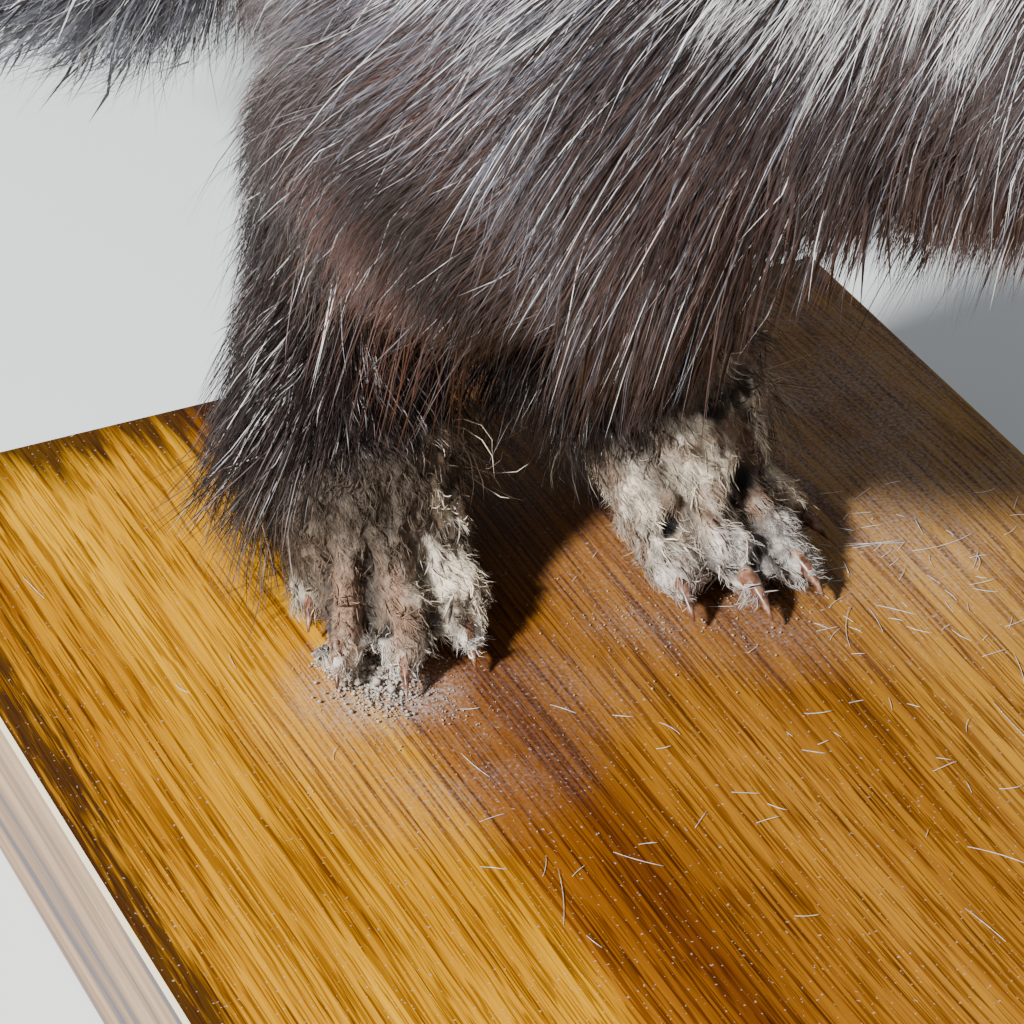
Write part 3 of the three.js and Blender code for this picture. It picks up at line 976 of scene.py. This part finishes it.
# The worn paws: matted locks and short fuzz over the felt.
total += grow("mats", worn * (1 - pit_shade) * 0.12 * smooth(normal[:, 2], -0.4, 0.1), 4, 4, 7, 0.8,
              0.36, mat_shade, 0.7, 4.5, WOOL)
total += grow("fuzz", worn * (1 - 0.7 * pit_shade) * 1.1, 2, 2, 6.0, 2.0, 0.10, mat_shade,
              0.62, 3.0, WOOL)


def hanging():
    """Where long hairs hang free: the edge of the flank, the front and back of the thigh, the hocks."""
    x, y, z = fox.T
    out = np.abs(y)
    flank = np.clip(weights["trunk"] + weights["thigh"], 0, 1) * smooth(x, 112, 140) * smooth(x, 320, 270)
    flank = flank * smooth(z, 272, 250) * smooth(out, 24, 42)
    thigh = part_weight("thigh", "shank") * smooth(z, 178, 155) * smooth(z, 95, 120) * smooth(out, 35, 55)
    hock = np.zeros(len(co))
    for name in HIND:
        q = fox_to_paw(fox, name)
        back = smooth(q[:, 0], -14, -28)
        if name == "hind_right":
            back = np.maximum(back, heel_flare(q))
        mine = part_weight(name + "_foot", name + "_shank") > 0.3
        hock = np.maximum(hock, mine * back * smooth(z, 22, 34) * smooth(z, 105, 70))
    return flank, thigh, hock


at_flank, at_thigh, at_hock = hanging()
total += grow("skirt", 0.055 * at_flank, 3, 3, 66, 7, 0.95, wool_shade, 0.3, 9.0,
              sag=0.5, hug=False)
total += grow("fringe", 0.52 * at_flank + 0.05 * at_thigh * (1 - at_hock), 4, 2, 82, 8,
              0.235, guard_shade, 0.6, 9.0, sag=0.5, hug=False)
# Under the belly it hangs straight down, shorter towards the chest.
x, y, z = fox.T
at_belly = np.clip(weights["trunk"] + weights["thigh"], 0, 1) * smooth(normal[:, 2], -0.15, -0.55)
at_belly = at_belly * smooth(x, 105, 135) * smooth(x, 345, 290) * smooth(np.abs(y), 6, 20)
drop = 76 - 30 * smooth(x, 180, 300)
total += grow("belly", 0.06 * at_belly, 3, 3, drop * 0.85, 28, 1.0, wool_shade, 0.3, 9.0,
              sag=1.1, hug=False)
total += grow("hem", 0.42 * at_belly, 4, 2, drop, 30, 0.20, guard_shade, 0.6, 9.0, sag=1.1,
              hug=False)
flare = heel_flare(fox_to_paw(fox, "hind_right")) * (part_weight("hind_right") > 0.3)
total += grow("feather", (0.34 + 0.2 * flare) * at_hock, 4, 2, 30 + 14 * flare, 12 - 3 * flare, 0.20,
              guard_shade, 0.5, 7.0, sag=0.45, hug=False)
# Between the legs the coat stands out from the inner side of the left ankle.
beside = fox_to_paw(fox, "hind_left")
inner = (part_weight("hind_left") > 0.3) * smooth(beside[:, 1], -4, -14) * smooth(beside[:, 0], 14, 0)
inner = inner * smooth(fox[:, 2], 52, 64) * smooth(fox[:, 2], 175, 140) * (1 - worn)
total += grow("ruff", 0.11 * inner, 3, 3, 44, 36, 1.0, wool_shade, 0.2, 7.0, hug=False)
total += grow("inner", 0.9 * inner, 3, 2, 48, 38, 0.19, guard_shade, 0.4, 7.0, hug=False)
brush = weights["tail"] * smooth(normal[:, 2], 0.3, -0.4)
total += grow("brush", 0.15 * brush, 4, 2, 60, 28, 0.19, guard_shade, 0.35, 9.0,
              sag=0.4, hug=False)
at_body = (weights["trunk"] + weights["thigh"]) * smooth(fox[:, 2], 150, 190) + 0.5 * weights["neck"]
total += grow("stray", 0.0010 * at_body * (1 - worn), 6, 2, 74, 30, 0.11, white_shade, 0,
              9.0, sag=0.3, hug=False)
print("coat triangles", total)

# ---------------------------------------------------------------- eyes, nose, claws, whiskers
def sphere(rings, segments):
    """Corners of a unit sphere about +X, ring by ring from its front, and its faces."""
    a = np.linspace(0, math.pi, rings + 1)[:, None]
    b = np.linspace(0, 2 * math.pi, segments, endpoint=False)[None]
    p = np.stack([np.cos(a) + 0 * b, np.sin(a) * np.cos(b), np.sin(a) * np.sin(b)], 2).reshape(-1, 3)
    quads = []
    for r in range(rings):
        for s in range(segments):
            n = (s + 1) % segments
            quads.append((r * segments + s, (r + 1) * segments + s, (r + 1) * segments + n, r * segments + n))
    return p, np.array(quads)


EYE_GLASS = grained("eye_glass", {"Scale": 1400.0, "Detail": 3.0},
                    ((0.3, (0.6, 0.55, 0.5)), (0.7, (1.25, 1.2, 1.1))), painted="Iris",
                    Roughness=0.08, Coat_Weight=1.0, Coat_Roughness=0.02)


def make_eye(name, s):
    p, quads = sphere(40, 48)
    angle = np.degrees(np.arccos(np.clip(p[:, 0], -1, 1)))
    bulge = 1 + 0.05 * smooth(angle, 46, 20)
    middle, *axes = eye_frame(s)
    slit = np.hypot(p[:, 1] / 0.16, p[:, 2] / 0.50) < 1
    around = np.arctan2(p[:, 2], p[:, 1])
    spoke = 0.5 + 0.5 * np.sin(around * 31 + 3 * np.sin(around * 7))
    amber = mix(np.tile([0.30, 0.11, 0.012], (len(p), 1)), np.array([0.62, 0.33, 0.05]), spoke * 0.6)
    iris = mix(amber, np.array([0.03, 0.012, 0.004]), smooth(angle, 36, 44))
    iris[slit] = 0.002
    ball = middle + (p * bulge[:, None] * EYE["r"]) @ np.stack(axes)
    me = mesh_of(name, fox_to_row(head_to_fox(ball)), quads)
    paint(me, "Iris", iris)
    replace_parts(object_of(name, me, EYE_GLASS, "eye_glass"), name.replace("eyeball", "eye"))


make_eye("eyeball_right", -1)
make_eye("eyeball_left", 1)


def leather(name, colour, roughness, scale):
    dark, light = (tuple(k * c for c in colour) for k in (0.55, 1.5))
    return grained(name, {"Scale": scale * 0.4, "Detail": 5.0}, ((0.3, dark), (0.7, light)),
                   bump=(0.5, 0.0004), pebbles=scale, Roughness=roughness)


NOSE = leather("nose_leather", (0.022, 0.018, 0.017), 0.42, 900.0)
LID = leather("lid_leather", (0.018, 0.014, 0.013), 0.5, 1300.0)


def make_nose():
    p, quads = sphere(28, 36)
    x, y, z = p.T
    wide = 1 + 0.12 * smooth(z, -0.2, 0.5)
    q = cols(x * 6.6, y * 9.0 * wide, z * 7.0 * (1 - 0.12 * np.abs(y)))
    for s in (-1, 1):
        hole = np.hypot((y - 0.46 * s) / 0.24, (z + 0.06 + 0.3 * (s * y - 0.46)) / 0.26)
        comma = np.hypot((y - 0.74 * s) / 0.26, (z + 0.18) / 0.10)
        q[:, 0] -= 3.4 * smooth(np.minimum(hole, comma), 1.15, 0.5) * (x > 0)
    q[:, 0] -= 0.9 * smooth(np.abs(y), 0.10, 0.02) * smooth(z, 0.3, -0.1) * (x > 0)
    me = mesh_of("nose_pad", fox_to_row(head_to_fox(q + np.array([103.0, 0, -14.0]))), quads)
    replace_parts(object_of("nose_pad", me, NOSE, "nose_leather"), "nose")


make_nose()


def tube(points, radii, sides=10, flat=1.0):
    """A closed tube along points, in whatever frame the points are in."""
    points, radii = np.asarray(points, float), np.asarray(radii, float)
    along = unit(np.gradient(points, axis=0))
    hint = np.where(np.abs(along[:, 2:]) > 0.9, [[1.0, 0, 0]], [[0, 0, 1.0]])
    across = unit(np.cross(along, hint))
    up = np.cross(across, along)
    t = np.linspace(0, 2 * math.pi, sides, endpoint=False)
    ring = points[:, None] + radii[:, None, None] * (
        across[:, None] * np.cos(t)[None, :, None] + flat * up[:, None] * np.sin(t)[None, :, None])
    k = len(points)
    verts = np.concatenate([ring.reshape(-1, 3), points[:1], points[-1:]])
    faces = []
    for s in range(sides):
        n = (s + 1) % sides
        for r in range(k - 1):
            a, b = r * sides, (r + 1) * sides
            faces += [(a + s, a + n, b + n), (a + s, b + n, b + s)]
        faces += [(k * sides, n, s), (k * sides + 1, (k - 1) * sides + s, (k - 1) * sides + n)]
    return verts, np.array(faces)


def joined(shapes):
    """The corners and faces of many shapes, as one shape."""
    verts, faces = zip(*shapes)
    starts = np.cumsum([0] + [len(v) for v in verts[:-1]])
    return np.concatenate(verts), np.concatenate([f + k for f, k in zip(faces, starts)])


def make_lids():
    shapes = []
    for s in (-1, 1):
        middle, gaze, across, up = eye_frame(s)
        t = np.linspace(0, 2 * math.pi, 49)
        a = 9.6 * np.cos(t) * (1 + 0.08 * np.cos(t) * s)
        b = 5.9 * np.sin(t) * (1 - 0.25 * np.abs(np.cos(t)) ** 3) - 0.22 * a * s
        c = np.sqrt(np.maximum((EYE["r"] + 0.5) ** 2 - a**2 * 0.8 - b**2, 4.0))
        points = middle + a[:, None] * across + b[:, None] * up + c[:, None] * gaze
        shapes.append(tube(points, np.full(len(t), 1.0), 8))
    verts, faces = joined(shapes)
    me = mesh_of("eyelids", fox_to_row(head_to_fox(verts)), faces)
    object_of("eyelids", me, LID, "nose_leather")


make_lids()


HORN = (0.35, (0.045, 0.022, 0.014)), (0.52, (0.20, 0.085, 0.05)), (0.7, (0.42, 0.29, 0.2))
CLAW = grained("claw_horn", {"Scale": 330.0, "Detail": 4.0}, HORN, bump=(0.3, 0.0004), Roughness=0.32,
               Subsurface_Weight=0.25, Subsurface_Radius=(0.004, 0.002, 0.001))


def make_claws():
    for name in PAWS:
        shapes = []
        for across, reach, splay in TOES[name]:
            t = np.linspace(0, 1, 9)
            bent = cols(reach - 4 + 15 * t, 0, 9.6 - 1.0 * t - 5.2 * t**2)
            bent = spin_z(bent, math.radians(splay)) + [0, across, 0]
            shapes.append(tube(bent, 2.3 * (1 - t**1.6) + 0.25, 10, 1.15))
        verts, faces = joined(shapes)
        if outward(name) < 0:
            faces = faces[:, ::-1]
        me = mesh_of("claws_" + name, fox_to_row(paw_to_fox(verts, name)), faces)
        object_of("claws_" + name, me, CLAW, "nose_leather")


make_claws()


def make_whiskers():
    shapes = []
    for s in (-1, 1):
        for row in range(3):
            for k in range(5):
                x, z = 92 - 7.5 * k - 2 * row, -13 - 4.6 * row
                root = np.array([x, (12.5 + 1.3 * k) * s, z])
                reach = rng.uniform(38, 62)
                t = np.linspace(0, 1, 7)[:, None]
                way = unit(np.array([-0.35 - 0.1 * k, 0.9 * s, 0.22 - 0.2 * row + rng.normal() * 0.08]))
                bend = np.array([-0.35, 0, -0.25]) * reach * t**2
                shapes.append(tube(root + way * reach * t * 0.9 + bend, 0.32 * (1 - t[:, 0]) + 0.05, 4))
    verts, faces = joined(shapes)
    me = mesh_of("whiskers", fox_to_row(head_to_fox(verts)), faces)
    paint(me, "Hair", np.tile(BLACK * 1.6, (len(verts), 1)))
    object_of("whiskers", me, HAIR, "dark_fur")


make_whiskers()

# ---------------------------------------------------------------- the board and what lies on it
WOOD_BANDS = (  # across the board from its right edge, in metres, and the tone there
    (-0.155, (0.520, 0.235, 0.014)),
    (-0.139, (0.580, 0.270, 0.010)),
    (-0.110, (0.690, 0.345, 0.010)),
    (-0.080, (0.540, 0.245, 0.010)),
    (-0.064, (0.640, 0.310, 0.008)),
    (-0.056, (0.310, 0.115, 0.014)),
    (-0.032, (0.185, 0.062, 0.014)),
    (-0.004, (0.320, 0.132, 0.020)),
    (0.022, (0.400, 0.180, 0.034)),
    (0.048, (0.290, 0.117, 0.015)),
    (0.080, (0.430, 0.210, 0.050)),
    (0.155, (0.370, 0.185, 0.060)),
)


def maths(tree, operation, a, b=0.0):
    return node(tree, "Math", {0: a, 1: b}, operation=operation).outputs[0]


def axes_of(tree, vector):
    return node(tree, "SeparateXYZ", {0: vector}).outputs


def ranged(tree, value, low, high, to_low=0.0, to_high=1.0):
    return node(tree, "MapRange", {0: value, 1: low, 2: high, 3: to_low, 4: to_high}).outputs[0]


def stretched(tree, vector, scale, detail=4.0, roughness=0.6):
    """Noise drawn out along X."""
    at = node(tree, "Mapping", {"Vector": vector, "Scale": scale}).outputs[0]
    noise_ = node(tree, "TexNoise", {"Vector": at, "Scale": 1.0, "Detail": detail, "Roughness": roughness})
    return noise_.outputs[0]


def plank_top(tree, place, moved):
    """The varnished upper face: bands, streaks, fibres and pores, and stain along two edges."""
    axes = axes_of(tree, moved)
    across = ranged(tree, axes[1], -0.155, 0.155)
    tone = ramp(tree, across, *(((y + 0.155) / 0.31, rgb) for y, rgb in WOOD_BANDS))
    figure = stretched(tree, moved, (2.4, 150.0, 150.0), 3.0, 0.62)
    fibre = stretched(tree, moved, (7.0, 700.0, 700.0), 3.0, 0.75)
    pore = stretched(tree, moved, (26.0, 1250.0, 1250.0), 1.0, 0.6)
    cloud = stretched(tree, moved, (5.0, 16.0, 16.0), 2.0, 0.5)
    streak = (0.34, (0.62, 0.50, 0.40)), (0.46, (0.88, 0.84, 0.76)), (0.62, (1.04, 1.04, 0.75))
    thread = (0.42, (0.46, 0.37, 0.26)), (0.49, (0.97, 0.96, 0.8)), (0.60, (1.12, 1.13, 0.6))
    dash = (0.39, (0.26, 0.17, 0.10)), (0.43, (1.0, 1.0, 1.0))
    blotch = (0.35, (0.60, 0.48, 0.36)), (0.56, (1.08, 1.07, 0.7))
    brown = maths(tree, "ADD", cloud, ranged(tree, axes[0], -0.30, 0.0, -0.075, 0.05))
    layers = (0.7, figure, streak), (0.9, fibre, thread), (0.7, pore, dash), (0.7, brown, blotch)
    for share, pattern, stops in layers:
        tone = blend(tree, "MULTIPLY", share, tone, ramp(tree, pattern, *stops))
    uneven = ranged(tree, figure, 0.35, 0.6, 0.030, -0.004)
    rear = ranged(tree, maths(tree, "SUBTRACT", axes[0], uneven), -0.298, -0.278, 0.9, 0.0)
    mottle = stretched(tree, place, (15.0, 340.0, 340.0), 3.0, 0.85)
    worn_in = ranged(tree, mottle, 0.30, 0.68, -0.012, 0.012)
    edge = maths(tree, "ADD", axes_of(tree, place)[1], worn_in)
    rim = ranged(tree, edge, -0.149, -0.137, 0.92, 0.0)
    return blend(tree, "MIX", maths(tree, "MAXIMUM", rear, rim), tone, (0.030, 0.010, 0.004, 1)), pore


# Dust on the board, with painted light on its far side: fox's x and y, how far it lies thick, how far it
# reaches, and its strength.
DUST_AND_LIGHT = (
    (20, -66, 10, 30, 0.9),
    (30, -78, 6, 36, 0.22),
    (60, -70, 8, 42, 0.30),
    (48, -30, 8, 34, 0.20),
    (42, 10, 6, 30, 0.26),
    (58, 36, 6, 34, 0.36),
    (34, 84, 10, 56, 0.20),
    # Far side, beyond the left hind paw: dust, made wide and strong as painted light where the body's shadow
    # falls.
    (-6, 112, 30, 130, 0.55),
)


def dust_and_light_on(tree, place):
    """How thick dust lies: round the paws, and as specks all over; on the far side it also paints light where
    the body's shadow falls.
    """
    cloud = stretched(tree, place, (34.0, 34.0, 34.0), 3.0, 0.65)
    grit = stretched(tree, place, (900.0, 900.0, 900.0), 1.0, 0.5)
    heap = None
    for x, y, inner, outer, most in DUST_AND_LIGHT:
        point = tuple(fox_to_row([[x, y, 0]])[0])
        away = node(tree, "VectorMath", {0: place, 1: point}, operation="DISTANCE").outputs["Value"]
        here = maths(tree, "MULTIPLY", ranged(tree, away, inner * MM, outer * MM, 1.0, 0.0), most)
        heap = maths(tree, "MAXIMUM", heap, here) if heap else here
    haze = maths(tree, "MULTIPLY", heap, ranged(tree, cloud, 0.35, 0.62, 0.25, 1.0))
    haze = maths(tree, "MULTIPLY", haze, ranged(tree, grit, 0.40, 0.60, 0.20, 1.0))
    often = maths(tree, "ADD", grit, maths(tree, "MULTIPLY", heap, 0.05))
    return maths(tree, "MAXIMUM", haze, ranged(tree, often, 0.715, 0.730, 0.0, 0.7))


def plank_sides(tree, moved, facing):
    """The bare sides: the long ones streaked, partly with painted reflection, the ends with the rings of the
    tree, and a pale painted highlight along the arris.
    """
    # The darkest streaks on the long sides are grey-blue: painted reflection along the grain.
    long_ = stretched(tree, moved, (3.0, 150.0, 150.0), 3.0, 0.6)
    side = ramp(tree, long_, (0.38, (0.12, 0.11, 0.118)), (0.47, (0.27, 0.18, 0.115)),
                (0.64, (0.4, 0.285, 0.185)))
    about = node(tree, "VectorMath", {0: moved, 1: (0.0, 0.06, 0.16)}, operation="ADD").outputs[0]
    rings = node(tree, "TexWave", {"Vector": about, "Scale": 55.0, "Distortion": 2.5, "Detail": 1.0},
                 wave_type="RINGS", rings_direction="X").outputs[1]
    end = ramp(tree, rings, (0.1, (0.34, 0.27, 0.21)), (0.6, (0.60, 0.50, 0.40)), (0.95, (0.70, 0.60, 0.50)))
    endwise = ranged(tree, maths(tree, "ABSOLUTE", facing[0]), 0.5, 0.8)
    bare_sides = blend(tree, "MIX", endwise, side, end)
    # Painted highlight: the bevel, where the normal tilts partly up, is pale cream.
    return blend(tree, "MIX", ranged(tree, facing[2], 0.15, 0.45), bare_sides, (0.72, 0.62, 0.42, 1))


def wood_material():
    mat, tree, shader = material("varnished_plank")
    place = object_place(tree)
    warp = node(tree, "TexNoise", {"Vector": place, "Scale": 3.2, "Detail": 1.0}).outputs["Color"]
    centred = node(tree, "VectorMath", {0: warp, 1: (0.5, 0.5, 0.5)}, operation="SUBTRACT").outputs[0]
    shift = node(tree, "VectorMath", {0: centred, 1: (0.0, 0.020, 0.012)}, operation="MULTIPLY").outputs[0]
    moved = node(tree, "VectorMath", {0: place, 1: shift}, operation="ADD").outputs[0]
    top, pore = plank_top(tree, place, moved)
    facing = axes_of(tree, node(tree, "NewGeometry").outputs["Normal"])
    upward = ranged(tree, facing[2], 0.8, 0.97)
    colour = blend(tree, "MIX", upward, plank_sides(tree, moved, facing), top)
    # The dust, and on the far side painted light, pales and dulls the top.
    dust_and_light = maths(tree, "MULTIPLY", dust_and_light_on(tree, place), upward)
    tree.links.new(blend(tree, "MIX", dust_and_light, colour, (0.42, 0.37, 0.36, 1)), shader.inputs["Base Color"])
    gloss = ranged(tree, pore, 0.3, 0.7, 0.36, 0.22)
    dull = maths(tree, "MULTIPLY", maths(tree, "SUBTRACT", 1.0, upward), 0.5)
    matt = maths(tree, "ADD", maths(tree, "MULTIPLY", dust_and_light, 0.8), dull)
    tree.links.new(maths(tree, "ADD", gloss, matt), shader.inputs["Roughness"])
    relief(tree, shader, stretched(tree, place, (26.0, 1250.0, 1250.0), 0.0, 0.5), 0.22, 0.0004)
    shader.inputs["Specular IOR Level"].default_value = 0.08
    return mat


board = nodes["base_board"]
board.data.materials.clear()
board.data.materials.append(wood_material())


def speckled(name, colour, roughness):
    dark, light = tuple(0.6 * c for c in colour), tuple(min(1, 1.25 * c) for c in colour)
    return grained(name, {"Scale": 700.0, "Detail": 3.0}, ((0.3, dark), (0.7, light)), Roughness=roughness)


CRUMB = speckled("plaster_crumb", (0.50, 0.44, 0.38), 0.95)
FALLEN = speckled("fallen_hair", (0.88, 0.90, 0.95), 0.5)


def lying(xy, size):
    """Places on the board's top, those off it dropped."""
    p = fox_to_row(cols(xy[:, 0], xy[:, 1], 0))
    p[:, 2] = BOARD[2] + size * MM
    inside = (np.abs(p[:, 0]) < BOARD[0] / 2 - 0.004) & (np.abs(p[:, 1]) < BOARD[1] / 2 - 0.004)
    return p[inside], size[inside]


def make_crumbs():
    """Plaster crumbs and grit about the torn paws."""
    # Each heap's x and y on the fox's axes, its spread along both, how many crumbs, and the largest.
    heaps = ((17, -66, 6, 5, 34, 1.9), (17, -66, 7, 5, 1500, 0.8), (24, -63, 12, 9, 700, 0.42),
             (44, -60, 26, 18, 240, 0.28), (52, 30, 12, 22, 160, 0.5), (34, 5, 12, 10, 120, 0.4),
             (60, 0, 60, 60, 160, 0.28))
    corners = np.repeat(np.eye(3), 2, axis=0) * np.tile([1, -1], 3)[:, None]
    sides_ = np.array([(a, b, 4) for a, b in ((0, 2), (2, 1), (1, 3), (3, 0))]
                      + [(a, b, 5) for a, b in ((2, 0), (1, 2), (3, 1), (0, 3))])
    shapes = []
    for x, y, sx, sy, count, big in heaps:
        xy = rng.normal(size=(count, 2)) * [sx, sy] + [x, y]
        p, size = lying(xy, big * rng.uniform(0.25, 1, count) ** 1.6)
        for at, r in zip(p, size):
            turn_ = np.array(Matrix.Rotation(rng.uniform(0, 6.3), 3, rng.normal(size=3)))
            lump = corners * rng.uniform(0.6, 1.25, (6, 1)) @ turn_.T * r * MM
            shapes.append((lump * [1, 1, 0.7] + at, sides_))
    verts, faces = joined(shapes)
    object_of("crumbs", mesh_of("crumbs", verts, faces), CRUMB, "worn_paw_fur")


make_crumbs()


def make_fallen_hairs():
    """Short white hairs shed on the board, most of them beside the left hind paw."""
    drifts = ((72, 84, 26, 22, 62), (62, 66, 20, 12, 16), (110, 20, 45, 45, 42), (40, -90, 90, 45, 9),
              (250, 0, 90, 60, 26), (-60, 0, 40, 60, 8))
    shapes = []
    for x, y, sx, sy, count in drifts:
        xy = rng.normal(size=(count, 2)) * [sx, sy] + [x, y]
        p, _ = lying(xy, np.full(count, 0.25))
        for at in p:
            t = np.linspace(-0.5, 0.5, 7)
            length = rng.uniform(3, 8) if rng.random() < 0.85 else rng.uniform(9, 22)
            bend, way = rng.normal() * 0.05, rng.uniform(0, math.pi)
            line = cols(t * length, bend * length * (1 - 4 * t**2), 0.5 * rng.random() * (t + 0.5)) * MM
            shapes.append(tube(spin_z(line, way) + at, (0.10 - 0.08 * np.abs(t)) * MM, 3))
    verts, faces = joined(shapes)
    object_of("fallen_hairs", mesh_of("fallen_hairs", verts, faces), FALLEN, "silver_fur")


make_fallen_hairs()

# ---------------------------------------------------------------- stage, light, camera
reach = 8
floor_me = mesh_of("floor", [(-reach, -reach, 0), (reach, -reach, 0), (reach, reach, 0), (-reach, reach, 0)],
                   [[0, 1, 2, 3]])
floor_mat, _, floor_shader = material("pale_floor")
floor_shader.inputs["Base Color"].default_value = (0.89, 0.935, 0.95, 1)
floor_shader.inputs["Roughness"].default_value = 0.9
object_of("floor", floor_me, floor_mat)

camera = bpy.data.objects.new("camera", bpy.data.cameras.new("camera"))
bpy.context.scene.collection.objects.link(camera)
bpy.context.scene.camera = camera
azimuth, elevation, roll = math.radians(65.03), math.radians(33.09), math.radians(-0.24)
level = math.cos(elevation)
back = Vector((math.sin(azimuth) * level, -math.cos(azimuth) * level, math.sin(elevation)))
camera.location = (0.6697, -0.3998, 0.6793)
camera.rotation_mode = "QUATERNION"
camera.rotation_quaternion = (-back).to_track_quat("-Z", "Y") @ Matrix.Rotation(roll, 4, "Z").to_quaternion()
camera.data.sensor_width = 36
camera.data.lens = 144.5
camera.data.clip_start = 0.05
camera.data.clip_end = 100


lamp = bpy.data.lights.new("window", "AREA")
lamp.shape = "DISK"
lamp.size = 0.30
lamp.energy = 212
lamp.color = (1.0, 0.985, 0.96)
window = bpy.data.objects.new("window", lamp)
bpy.context.scene.collection.objects.link(window)
window.location = (0.50, -2.18, 1.75)
window.rotation_mode = "QUATERNION"
window.rotation_quaternion = (Vector((-0.1, 0, 0.1)) - window.location).to_track_quat("-Z", "Y")
window.visible_camera = False

world = bpy.data.worlds.new("room")
bpy.context.scene.world = world
world.use_nodes = True
sky = world.node_tree.nodes["Background"]
sky.inputs["Color"].default_value = (0.80, 0.83, 0.86, 1)
sky.inputs["Strength"].default_value = 0.35
